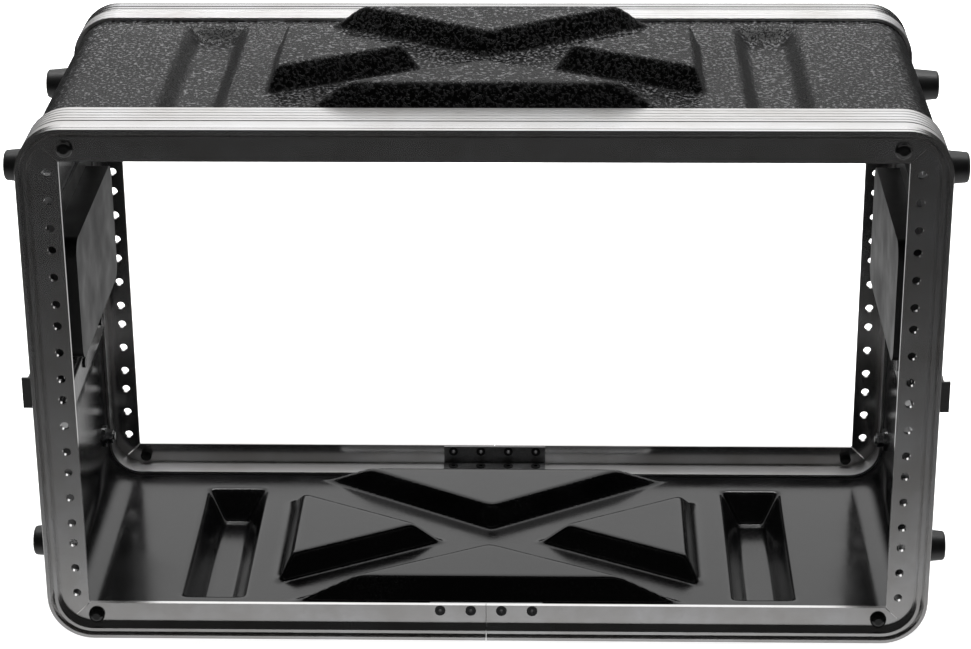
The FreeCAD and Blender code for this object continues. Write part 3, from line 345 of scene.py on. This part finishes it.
def half_shell(section_x, section_z, flat_half, relief, walls):
    """Grid of points: the section carried along Y, slid to its walls and raised by its
    relief."""
    x, y = np.meshgrid(section_x, ROWS, indexing="ij")
    z = np.repeat(section_z[:, None], len(ROWS), axis=1)
    for outlines, contours in walls:
        slid_x, slid_y = along_walls(x, y, outlines, contours)
        x, y = on_flat(x, flat_half, slid_x, x), on_flat(x, flat_half, slid_y, y)
    return np.stack([x, y, z + on_flat(x, flat_half, relief(x, y), 0.0)], axis=-1)


def contours(low, high):
    """Depths from just outside a wall's foot to just inside its brow."""
    return np.arange(low - CONTOUR_STEP, high + 1.5 * CONTOUR_STEP, CONTOUR_STEP)


LEVEL_FROM, LEVEL_TO = 0.8, 0.97


# This level steers the painted highlight on the grain's tips in haircell_abs.
def mark_level(mesh):
    """Store how level each point is: from 0 on walls to 1 on flats, a straight ramp of the
    upward part of its normal."""
    normals = np.empty((len(mesh.vertices), 3))
    mesh.vertex_normals.foreach_get("vector", normals.ravel())
    share = np.clip((normals[:, 2] - LEVEL_FROM) / (LEVEL_TO - LEVEL_FROM), 0.0, 1.0)
    mesh.attributes.new("level", "FLOAT", "POINT").data.foreach_set("value", share)


upper_points = half_shell(section_x, section_z, flat_half, top_relief,
                          [(WEDGES, contours(-PLATEAU_RUN, 0.0)),
                           (TRENCHES, contours(0.0, TRENCH_RUN))])
middles = (upper_points[:-1, :-1] + upper_points[1:, 1:]) / 2
over_dish = ((np.abs(middles[..., 0]) > flat_half + SHELL_CORNER / 2)
             & (middles[..., 1] > dish_low.y + DISH_COVER)
             & (middles[..., 1] < dish_high.y - DISH_COVER)
             & (middles[..., 2] > dish_low.z + DISH_COVER)
             & (middles[..., 2] < dish_high.z - DISH_COVER))
upper_shell = new_piece("upper_shell_sheet", upper_points, grid_cells(upper_points, ~over_dish),
                        [grained, glossy], "case", ["upper_shell"])
mark_level(upper_shell.data)
thicken(upper_shell, SHEET_WALL)


# ---------------------------------------------------------------- lower half shell
# The same sheet for the bottom.  Its pockets rise inside the case, over the plateaus of a case
# below, two long ribs are what it stands on, and its sides step in behind the upper half for
# a riveted lap.

POCKET_DEPTH = 12.5 * MM
POCKET_RUN = 8.0 * MM
POCKET_GROWTH = 8.7 * MM
RIB_HEIGHT = 18.0 * MM
RIB_HALF = 18.3 * MM
RIB_END = 68.8 * MM
RIB_RUN = 10.0 * MM
LAP_HEIGHT = 20.0 * MM
LAP_ROOT = 8.0 * MM
LAP_START = 14.5 * MM
LAP_STEP = SHEET_WALL + 0.1 * MM

RIBS = [outline(bar(RIB_HALF, RIB_END), 0.0, (side * TRENCH_MIDDLE, RELIEF_SHIFT))
        for side in (-1, 1)]


def floor_relief(x, y):
    """Height of the inner face above the flat floor: the pockets' backs less the ribs'
    hollows."""
    raised = soft_ramp(depth_inside(x, y, WEDGES) + POCKET_GROWTH, POCKET_RUN)
    sunk = soft_ramp(depth_inside(x, y, RIBS), RIB_RUN)
    return POCKET_DEPTH * raised - RIB_HEIGHT * sunk


lower_low, lower_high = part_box("lower_shell")
inner_side = upper_high.x - SHEET_WALL
inner_corner = SHELL_CORNER - SHEET_WALL
floor_level = lower_low.z + RIB_HEIGHT + SHEET_WALL
seam_level = upper_low.z
lower_uprights = divide([floor_level + inner_corner, seam_level - LAP_ROOT, seam_level,
                         seam_level + LAP_HEIGHT], [SIDE_STEP, 1 * MM, SIDE_STEP])[::-1]
section_x, section_z = bent_section(inner_side, floor_level, inner_corner, ACROSS,
                                    lower_uprights)
lower_points = half_shell(section_x, section_z, inner_side - inner_corner, floor_relief,
                          [(WEDGES, contours(-POCKET_GROWTH, POCKET_RUN - POCKET_GROWTH)),
                           (RIBS, contours(0.0, RIB_RUN))])
side, along, up = np.moveaxis(lower_points, -1, 0)
from_ends = np.minimum(along - upper_low.y, upper_high.y - along)
lapped = (soft_ramp(up - seam_level + LAP_ROOT, LAP_ROOT - 2 * MM)
          * soft_ramp(from_ends - LAP_START, 2 * FINE_STEP))
lower_points[..., 0] = side - np.sign(side) * LAP_STEP * lapped
middles = (lower_points[:-1, :-1] + lower_points[1:, 1:]) / 2
in_lap = ((middles[..., 1] > upper_low.y + LAP_START + 2 * FINE_STEP)
          & (middles[..., 1] < upper_high.y - LAP_START - 2 * FINE_STEP))
kept = (middles[..., 2] < seam_level) | in_lap
lower_shell = new_piece("lower_shell_sheet", lower_points, grid_cells(lower_points, kept),
                        [glossy, grained], "case", ["lower_shell"])
thicken(lower_shell, SHEET_WALL)


# ---------------------------------------------------------------- aluminium frames
# Anodised aluminium extrusions, bent round the case's ends and mitred for the rack flange.
# The bands are brushed satin round the case; the flange's face is left as drawn and smoother.

FLANGES_MIDDLE = -3.85 * MM
FLANGES_APART = 102.0 * MM

def dress(nodes, material):
    """Give CAD nodes their finish."""
    for node in nodes:
        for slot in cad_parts[node].material_slots:
            slot.material = material


def satin_anodised():
    """Anodised aluminium: satin, with die lines about 0.4 mm apart along the extrusion and
    soft blotches from handling."""
    material, shader, place = new_material("satin_anodised_aluminium", Metallic=1.0)
    stretched = add_node(material, "ShaderNodeMapping",
                         {"Vector": place, "Scale": (0.02, 1.0, 0.02)})
    lines = add_node(material, "ShaderNodeTexNoise",
                     {"Vector": stretched.outputs["Vector"], "Scale": 1 / (0.4 * MM),
                      "Detail": 3.0, "Roughness": 0.6})
    blotches = add_node(material, "ShaderNodeTexNoise",
                        {"Vector": place, "Scale": 1 / (35 * MM), "Detail": 4.0})
    tone = add_node(material, "ShaderNodeMath",
                    {0: lines.outputs["Fac"], 1: blotches.outputs["Fac"]}, operation="MULTIPLY")
    colour = add_node(material, "ShaderNodeMapRange",
                      {"Value": tone.outputs["Value"], "From Min": 0.12, "From Max": 0.4})
    shade = add_node(material, "ShaderNodeMixRGB",
                     {"Fac": colour.outputs["Result"], "Color1": linear("d2d0ce"),
                      "Color2": linear("e4e4e5")})
    from_front = add_node(material, "ShaderNodeSeparateXYZ", {"Vector": place}).outputs["Y"]
    from_middle = add_node(material, "ShaderNodeMath", {0: from_front, 1: FLANGES_MIDDLE},
                           operation="SUBTRACT")
    from_either = add_node(material, "ShaderNodeMath", {0: from_middle.outputs["Value"]},
                           operation="ABSOLUTE")
    rough = add_node(material, "ShaderNodeMapRange",
                     {"Value": from_either.outputs["Value"], "From Min": FLANGES_APART,
                      "From Max": FLANGES_APART + 0.2 * MM, "To Min": 0.42, "To Max": 0.18})
    relief = add_node(material, "ShaderNodeBump",
                      {"Height": lines.outputs["Fac"], "Strength": 0.3,
                       "Distance": 0.03 * MM})
    return finish_with(material, shader, Base_Color=shade.outputs["Color"],
                       Roughness=rough.outputs["Result"], Normal=relief.outputs["Normal"])


dress(["front_frame", "rear_frame"], satin_anodised())


# ---------------------------------------------------------------- splice plates and rivets
# A folded strip of plain steel joins each frame's two ends, with four tubular rivets through
# the flange and four through the leg.


def plain_steel(name, light, dark, rough_low, rough_high):
    """Bare or plated steel: two tones in fine rolled grain, duller in patches."""
    material, shader, place = new_material(name, Metallic=1.0)
    grain = add_node(material, "ShaderNodeTexNoise",
                     {"Vector": place, "Scale": 1 / (1.2 * MM), "Detail": 4.0})
    patches = add_node(material, "ShaderNodeTexNoise",
                       {"Vector": place, "Scale": 1 / (14 * MM), "Detail": 3.0})
    shade = add_node(material, "ShaderNodeMixRGB",
                     {"Fac": grain.outputs["Fac"], "Color1": linear(dark),
                      "Color2": linear(light)})
    rough = add_node(material, "ShaderNodeMapRange",
                     {"Value": patches.outputs["Fac"], "From Min": 0.3, "From Max": 0.7,
                      "To Min": rough_low, "To Max": rough_high})
    relief = add_node(material, "ShaderNodeBump",
                      {"Height": grain.outputs["Fac"], "Strength": 0.2, "Distance": 0.03 * MM})
    return finish_with(material, shader, Base_Color=shade.outputs["Color"],
                       Roughness=rough.outputs["Result"], Normal=relief.outputs["Normal"])


dress(["front_splice_plate", "rear_splice_plate"],
      plain_steel("cold_rolled_steel", "9b9b9c", "6d6d6e", 0.28, 0.42))
dress(["front_splice_rivets", "rear_splice_rivets"],
      plain_steel("dark_plated_steel", "4a4a4b", "262627", 0.3, 0.45))


# ---------------------------------------------------------------- corner plugs
# Domed plugs of black rubber, pushed through the flange's corners for the lid to close on.


def moulded_rubber(name, dark, light, rough, grain_size):
    """Black moulded rubber: nearly matt, with a fine even grain and a slight bloom."""
    material, shader, place = new_material(name, Roughness=rough, IOR=1.52)
    grain = add_node(material, "ShaderNodeTexNoise",
                     {"Vector": place, "Scale": 1 / grain_size, "Detail": 3.0})
    bloom = add_node(material, "ShaderNodeTexNoise",
                     {"Vector": place, "Scale": 1 / (9 * MM), "Detail": 3.0})
    shade = add_node(material, "ShaderNodeMixRGB",
                     {"Fac": bloom.outputs["Fac"], "Color1": linear(dark),
                      "Color2": linear(light)})
    relief = add_node(material, "ShaderNodeBump",
                      {"Height": grain.outputs["Fac"], "Strength": 0.4,
                       "Distance": 0.04 * MM})
    return finish_with(material, shader, Base_Color=shade.outputs["Color"],
                       Normal=relief.outputs["Normal"])


dress(["front_corner_bumpers", "rear_corner_bumpers"],
      moulded_rubber("polished_rubber", "060606", "101010", 0.2, 0.8 * MM))


# ---------------------------------------------------------------- side feet
# Eight tapered rubber feet that the case stands on when it is on its side.  Each is held by a
# screw sunk in its end, with a washer and a nut inside the wall.

FOOT_BASE = 9.8 * MM
FOOT_TIP = 8.5 * MM
FOOT_EDGE = 1.8 * MM
FOOT_FLARE = 0.5 * MM
FOOT_SINK = 9.0 * MM
FOOT_SINK_RADIUS = 5.2 * MM
FOOT_HOLE = 2.6 * MM
FOOT_SHARP = math.radians(50)
TURN_STEPS = 48


def rounded_corner(along, radius, size, start, end):
    """Quarter-round points from a start to an end angle, about a centre in the section."""
    angles = np.linspace(start, end, 7)
    return np.stack([along + size * np.cos(angles), radius + size * np.sin(angles)], axis=1)


def turned_ring(section, centre, outward):
    """Surface of revolution of a closed section of (distance along X, radius) pairs."""
    along, radius = section.T
    angles = np.linspace(0, 2 * math.pi, TURN_STEPS, endpoint=False)
    x = np.repeat(outward * along[:, None], TURN_STEPS, axis=1)
    y = radius[:, None] * np.cos(angles)
    z = radius[:, None] * np.sin(angles)
    return np.stack([x + centre[0], y + centre[1], z + centre[2]], axis=-1)


def ring_cells(rows, columns, mirrored):
    """Triangles of a grid that closes on itself both ways.  A ring that is a mirror image
    takes 1 and a plain one -1, so that both face outwards."""
    index = np.arange(rows * columns).reshape(rows, columns)
    a, b = index, np.roll(index, -1, axis=0)
    c, d = np.roll(b, -1, axis=1), np.roll(index, -1, axis=1)
    if mirrored < 0:
        b, d = d, b
    first = np.stack([a, b, c], axis=-1).reshape(-1, 3)
    second = np.stack([a, c, d], axis=-1).reshape(-1, 3)
    return np.concatenate([first, second])


foot_rubber = moulded_rubber("foot_rubber", "070707", "121212", 0.45, 0.9 * MM)
for side in ("right", "left"):
    outward = 1 if side == "right" else -1
    for depth in ("front", "rear"):
        for height in ("lower", "upper"):
            node = "side_foot_%s_%s_%s" % (depth, height, side)
            low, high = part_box(node)
            length = high.x - low.x
            seat = low.x if outward > 0 else high.x
            centre = (seat, (low.y + high.y) / 2, (low.z + high.z) / 2)
            section = np.concatenate([
                [(0.0, FOOT_HOLE), (0.0, FOOT_BASE - FOOT_FLARE)],
                [(FOOT_FLARE, FOOT_BASE)],
                rounded_corner(length - FOOT_EDGE, FOOT_TIP - FOOT_EDGE, FOOT_EDGE,
                               math.pi / 2, 0.0),
                rounded_corner(length - FOOT_FLARE, FOOT_SINK_RADIUS + FOOT_FLARE, FOOT_FLARE,
                               0.0, -math.pi / 2),
                [(length - FOOT_SINK, FOOT_SINK_RADIUS), (length - FOOT_SINK, FOOT_HOLE)]])
            points = turned_ring(section, centre, outward)
            foot = new_piece(node + "_rubber", points,
                             ring_cells(len(section), TURN_STEPS, -outward), [foot_rubber],
                             "case", [node])
            foot.data.set_sharp_from_angle(angle=FOOT_SHARP)

bright_zinc = plain_steel("bright_zinc_steel", "c3c4c4", "98999a", 0.22, 0.36)
dress(["foot_screws_right", "foot_screws_left", "foot_washers_right", "foot_washers_left",
       "foot_nuts_right", "foot_nuts_left"], bright_zinc)


# ---------------------------------------------------------------- seam rivets
# Black blind rivets, three a side, through the lap of the two half shells.


def black_coat(name, dark, light, rough_low, rough_high, pebble):
    """Baked black powder coat on steel: a fine orange peel, worn a little lighter."""
    material, shader, place = new_material(name, IOR=1.5)
    peel = add_node(material, "ShaderNodeTexNoise",
                    {"Vector": place, "Scale": 1 / pebble, "Detail": 3.0})
    wear = add_node(material, "ShaderNodeTexNoise",
                    {"Vector": place, "Scale": 1 / (22 * MM), "Detail": 4.0})
    shade = add_node(material, "ShaderNodeMixRGB",
                     {"Fac": wear.outputs["Fac"], "Color1": linear(dark),
                      "Color2": linear(light)})
    rough = add_node(material, "ShaderNodeMapRange",
                     {"Value": wear.outputs["Fac"], "From Min": 0.3, "From Max": 0.7,
                      "To Min": rough_low, "To Max": rough_high})
    relief = add_node(material, "ShaderNodeBump",
                      {"Height": peel.outputs["Fac"], "Strength": 0.35,
                       "Distance": 0.05 * MM})
    return finish_with(material, shader, Base_Color=shade.outputs["Color"],
                       Roughness=rough.outputs["Result"], Normal=relief.outputs["Normal"])


black_zinc = black_coat("black_zinc", "080808", "161617", 0.25, 0.4, 0.8 * MM)
dress(["seam_rivets_right", "seam_rivets_left"], black_zinc)


# ---------------------------------------------------------------- latch strikes
# Folded black steel strikes, riveted to the bands, that the lids' latches hook on.

powder_coat = black_coat("black_powder_coat", "0a0a0a", "191919", 0.34, 0.5, 1.1 * MM)
STRIKES = ["%s_%s_%s" % (part, end, side) for part in ("keeper", "keeper_rivets")
           for end in ("front", "rear") for side in ("right", "left")]
dress([node for node in STRIKES if "rivets" not in node], powder_coat)
dress([node for node in STRIKES if "rivets" in node], black_zinc)


# ---------------------------------------------------------------- handle dishes
# Pressed steel dishes, powder coated black and screwed through the side walls to a plain
# backing plate.

dress(["handle_dish_right", "handle_dish_left", "handle_brackets_right",
       "handle_brackets_left"], powder_coat)
dress(["handle_screws_right", "handle_screws_left"], black_zinc)
dress(["handle_backing_right", "handle_backing_left"],
      plain_steel("galvanised_steel", "858686", "5e5f5f", 0.3, 0.45))
dress(["handle_nuts_right", "handle_nuts_left"], black_zinc)


# ---------------------------------------------------------------- bails and grips
# A bent steel rod turns in the dish's pivot blocks.  Its middle carries a ribbed rubber grip,
# moulded on.

GRIP_RIDGE = 0.45 * MM
GRIP_PITCH = 4.0 * MM
GRIP_ROUND = 2.0 * MM
GRIP_BORE = 3.25 * MM
GRIP_STEP = 0.5 * MM

dress(["handle_bail_right", "handle_bail_left"],
      plain_steel("zinc_rod", "b9babb", "8e8f90", 0.2, 0.34))


def grip_section(half, radius):
    """Closed section of (distance along Y, radius): a bore, rounded ends, and ridges as a
    raised cosine that fades out at the ends."""
    along = np.arange(-half + GRIP_ROUND, half - GRIP_ROUND, GRIP_STEP)
    fade = soft_ramp(half - 2 * GRIP_ROUND - np.abs(along), GRIP_ROUND)
    ridges = GRIP_RIDGE * fade * (0.5 - 0.5 * np.cos(2 * math.pi * along / GRIP_PITCH))
    body = np.stack([along, radius - ridges], axis=1)
    first = rounded_corner(-half + GRIP_ROUND, radius - GRIP_ROUND, GRIP_ROUND,
                           math.pi, math.pi / 2)
    last = rounded_corner(half - GRIP_ROUND, radius - GRIP_ROUND, GRIP_ROUND,
                          math.pi / 2, 0.0)
    return np.concatenate([[(-half, GRIP_BORE)], first[:-1], body, last[1:],
                           [(half, GRIP_BORE)]])


grip_rubber = moulded_rubber("grip_rubber", "0a0a0a", "181818", 0.55, 0.8 * MM)
for side in ("right", "left"):
    low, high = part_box("handle_grip_" + side)
    middle = (low + high) / 2
    section = grip_section((high.y - low.y) / 2, (high.z - low.z) / 2)
    ring = turned_ring(section, (0.0, 0.0, 0.0), 1)
    points = np.stack([middle.x + ring[..., 1], middle.y + ring[..., 0],
                       middle.z + ring[..., 2]], axis=-1)
    new_piece("handle_grip_rubber_" + side, points,
              ring_cells(len(section), TURN_STEPS, 1), [grip_rubber],
              "handle_" + side, ["handle_grip_" + side])


# ---------------------------------------------------------------- torsion springs
# Two springs a handle, wound from music wire round the bail's ends, that fold it flat.

SPRING_WIRE = 0.5 * MM
SPRING_TURNS = 2.4
SPRING_LENGTH = 3.4 * MM
WIRE_SIDES = 12
WIRE_STEPS = 150


def wound_wire(middle, length, radius):
    """Helix along Y of round wire: a circle carried square to the helix, shrunk to nothing at
    both ends."""
    share = np.linspace(0, 1, WIRE_STEPS)
    angle = 2 * math.pi * SPRING_TURNS * share
    rise = (share - 0.5) * (length - 2 * SPRING_WIRE)
    out = np.stack([np.cos(angle), np.zeros_like(angle), np.sin(angle)], axis=1)
    side = np.tile([0.0, 1.0, 0.0], (WIRE_STEPS, 1))
    line = radius * out + np.outer(rise, [0.0, 1.0, 0.0]) + np.array(middle)
    size = SPRING_WIRE * np.sqrt(np.clip(np.minimum(share, 1 - share) * WIRE_STEPS / 3, 0, 1))
    around = np.linspace(0, 2 * math.pi, WIRE_SIDES, endpoint=False)
    circle = (np.cos(around)[None, :, None] * out[:, None] +
              np.sin(around)[None, :, None] * side[:, None])
    return line[:, None] + size[:, None, None] * circle


def tube_cells(rows, columns, first_index):
    """Triangles of a grid that closes on itself across its columns, with its first and last
    rows each drawn together into one pole, facing outwards."""
    index = first_index + np.arange(rows * columns).reshape(rows, columns)
    index[0] = index[0, 0]
    index[-1] = index[-1, 0]
    a, d = index[:-1], index[1:]
    b, c = np.roll(a, -1, axis=1), np.roll(d, -1, axis=1)
    first = np.stack([a, b, c], axis=-1).reshape(-1, 3)
    second = np.stack([a, c, d], axis=-1).reshape(-1, 3)
    cells = np.concatenate([first, second])
    proper = (cells != np.roll(cells, -1, axis=1)).all(axis=1)
    return cells[proper]


music_wire = plain_steel("music_wire", "8f8f90", "5c5c5d", 0.22, 0.34)
for side in ("right", "left"):
    low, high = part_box("handle_springs_" + side)
    radius = (high.z - low.z) / 2 - SPRING_WIRE
    middle = (low + high) / 2
    coils = [wound_wire((middle.x, place, middle.z), SPRING_LENGTH, radius)
             for place in (low.y + SPRING_LENGTH / 2, high.y - SPRING_LENGTH / 2)]
    cells = [tube_cells(WIRE_STEPS, WIRE_SIDES, turn * WIRE_STEPS * WIRE_SIDES)
             for turn in (0, 1)]
    new_piece("handle_springs_wire_" + side, np.concatenate(coils), np.concatenate(cells),
              [music_wire], "case", ["handle_springs_" + side])


# ---------------------------------------------------------------- floor, lights and camera
# Plain white paper on a table, lit by one large soft box above and behind the case and a
# little light from all round.  The camera stands about 1.6 m away and looks down into the
# case.

FLOOR_HALF = 6.0
BEHIND_FROM, BEHIND_TO = -0.05, 0.35
RAISED_FROM, RAISED_TO = 0.12, 0.36
SUNK_FROM, SUNK_TO, SUNK_SHARE = -0.25, -0.4, 0.5
BACKDROP, ROOM = 1.35, 0.024
TABLE_FROM, TABLE_TO, TABLE = -0.482, -0.508, 0.85
PAPER_GLOW = 0.8


def white_paper():
    """Matt white paper with a faint tooth, lit through from below as on a light table."""
    material, shader, place = new_material("white_paper", Roughness=0.9,
                                           Emission_Strength=PAPER_GLOW,
                                           Emission_Color=linear("ffffff"))
    tooth = add_node(material, "ShaderNodeTexNoise",
                     {"Vector": place, "Scale": 1 / (2 * MM), "Detail": 2.0})
    shade = add_node(material, "ShaderNodeMixRGB",
                     {"Fac": tooth.outputs["Fac"], "Color1": linear("f2f2f2"),
                      "Color2": linear("f6f6f6")})
    return finish_with(material, shader, Base_Color=shade.outputs["Color"])


floor_mesh = bpy.data.meshes.new("paper_floor")
floor_mesh.from_pydata([(-FLOOR_HALF, -FLOOR_HALF, 0.0), (FLOOR_HALF, -FLOOR_HALF, 0.0),
                        (FLOOR_HALF, FLOOR_HALF, 0.0), (-FLOOR_HALF, FLOOR_HALF, 0.0)],
                       [], [(0, 1, 2, 3)])
floor_mesh.materials.append(white_paper())
floor = bpy.data.objects.new("paper_floor", floor_mesh)
bpy.context.scene.collection.objects.link(floor)
floor.visible_glossy = False


def soft_box(name, place, target, size, power, spread):
    """Rectangular area light aimed at a point."""
    light = bpy.data.lights.new(name, "AREA")
    light.shape = "RECTANGLE"
    light.size, light.size_y = size
    light.energy = power
    light.spread = math.radians(spread)
    lamp = bpy.data.objects.new(name, light)
    lamp.location = place
    aim = Vector(target) - Vector(place)
    lamp.rotation_euler = aim.to_track_quat("-Z", "Y").to_euler()
    bpy.context.scene.collection.objects.link(lamp)


soft_box("top_soft_box", (0.0, 0.9, 2.0), (0.0, 0.9, 0.0), (1.6, 1.6), 14.0, 40.0)


def studio_world():
    """Light from all round: a white canopy above and behind the case, a dark room in front
    and at the sides, and the pale table below.  The camera sees plain white beyond the
    floor."""
    world = bpy.data.worlds.new("studio")
    world.use_nodes = True
    tree = world.node_tree
    direction = add_node(world, "ShaderNodeTexCoord", {}).outputs["Generated"]
    parts = add_node(world, "ShaderNodeSeparateXYZ", {"Vector": direction}).outputs
    behind = add_node(world, "ShaderNodeMapRange",
                      {"Value": parts["Y"], "From Min": BEHIND_FROM, "From Max": BEHIND_TO},
                      interpolation_type="SMOOTHSTEP")
    raised = add_node(world, "ShaderNodeMapRange",
                      {"Value": parts["Z"], "From Min": RAISED_FROM, "From Max": RAISED_TO},
                      interpolation_type="SMOOTHSTEP")
    sunk = add_node(world, "ShaderNodeMapRange",
                    {"Value": parts["Z"], "From Min": SUNK_FROM, "From Max": SUNK_TO,
                     "To Max": SUNK_SHARE}, interpolation_type="SMOOTHSTEP")
    either = add_node(world, "ShaderNodeMath", {0: raised.outputs["Result"],
                                                1: sunk.outputs["Result"]}, operation="ADD")
    share = add_node(world, "ShaderNodeMath", {0: behind.outputs["Result"],
                                               1: either.outputs["Value"]},
                     operation="MULTIPLY")
    backdrop = add_node(world, "ShaderNodeMapRange",
                        {"Value": share.outputs["Value"], "To Min": ROOM, "To Max": BACKDROP})
    table = add_node(world, "ShaderNodeMapRange",
                     {"Value": parts["Z"], "From Min": TABLE_FROM, "From Max": TABLE_TO,
                      "To Min": 0.0, "To Max": TABLE}, interpolation_type="SMOOTHSTEP")
    lit = add_node(world, "ShaderNodeMath", {0: backdrop.outputs["Result"],
                                             1: table.outputs["Result"]}, operation="MAXIMUM")
    seen = add_node(world, "ShaderNodeLightPath", {}).outputs["Is Camera Ray"]
    strength = add_node(world, "ShaderNodeMath", {0: lit.outputs["Value"], 1: seen},
                        operation="MAXIMUM")
    tree.links.new(strength.outputs["Value"], tree.nodes["Background"].inputs["Strength"])
    tree.nodes["Background"].inputs["Color"].default_value = linear("ffffff")
    return world


bpy.context.scene.world = studio_world()
bpy.context.scene.view_settings.view_transform = "Standard"

CAMERA_PLACE = (0.0429, -1.5099, 0.81965)
CAMERA_PITCH = math.radians(23.525)
CAMERA_YAW = math.radians(1.713)
CAMERA_ROLL = math.radians(0.456)

lens = bpy.data.cameras.new("camera")
lens.sensor_width = 36.0
lens.lens = 104.46
camera = bpy.data.objects.new("camera", lens)
camera.matrix_world = (Matrix.Translation(CAMERA_PLACE)
                       @ Matrix.Rotation(CAMERA_YAW, 4, "Z")
                       @ Matrix.Rotation(math.pi / 2 - CAMERA_PITCH, 4, "X")
                       @ Matrix.Rotation(-CAMERA_ROLL, 4, "Z"))
bpy.context.scene.collection.objects.link(camera)
bpy.context.scene.camera = camera
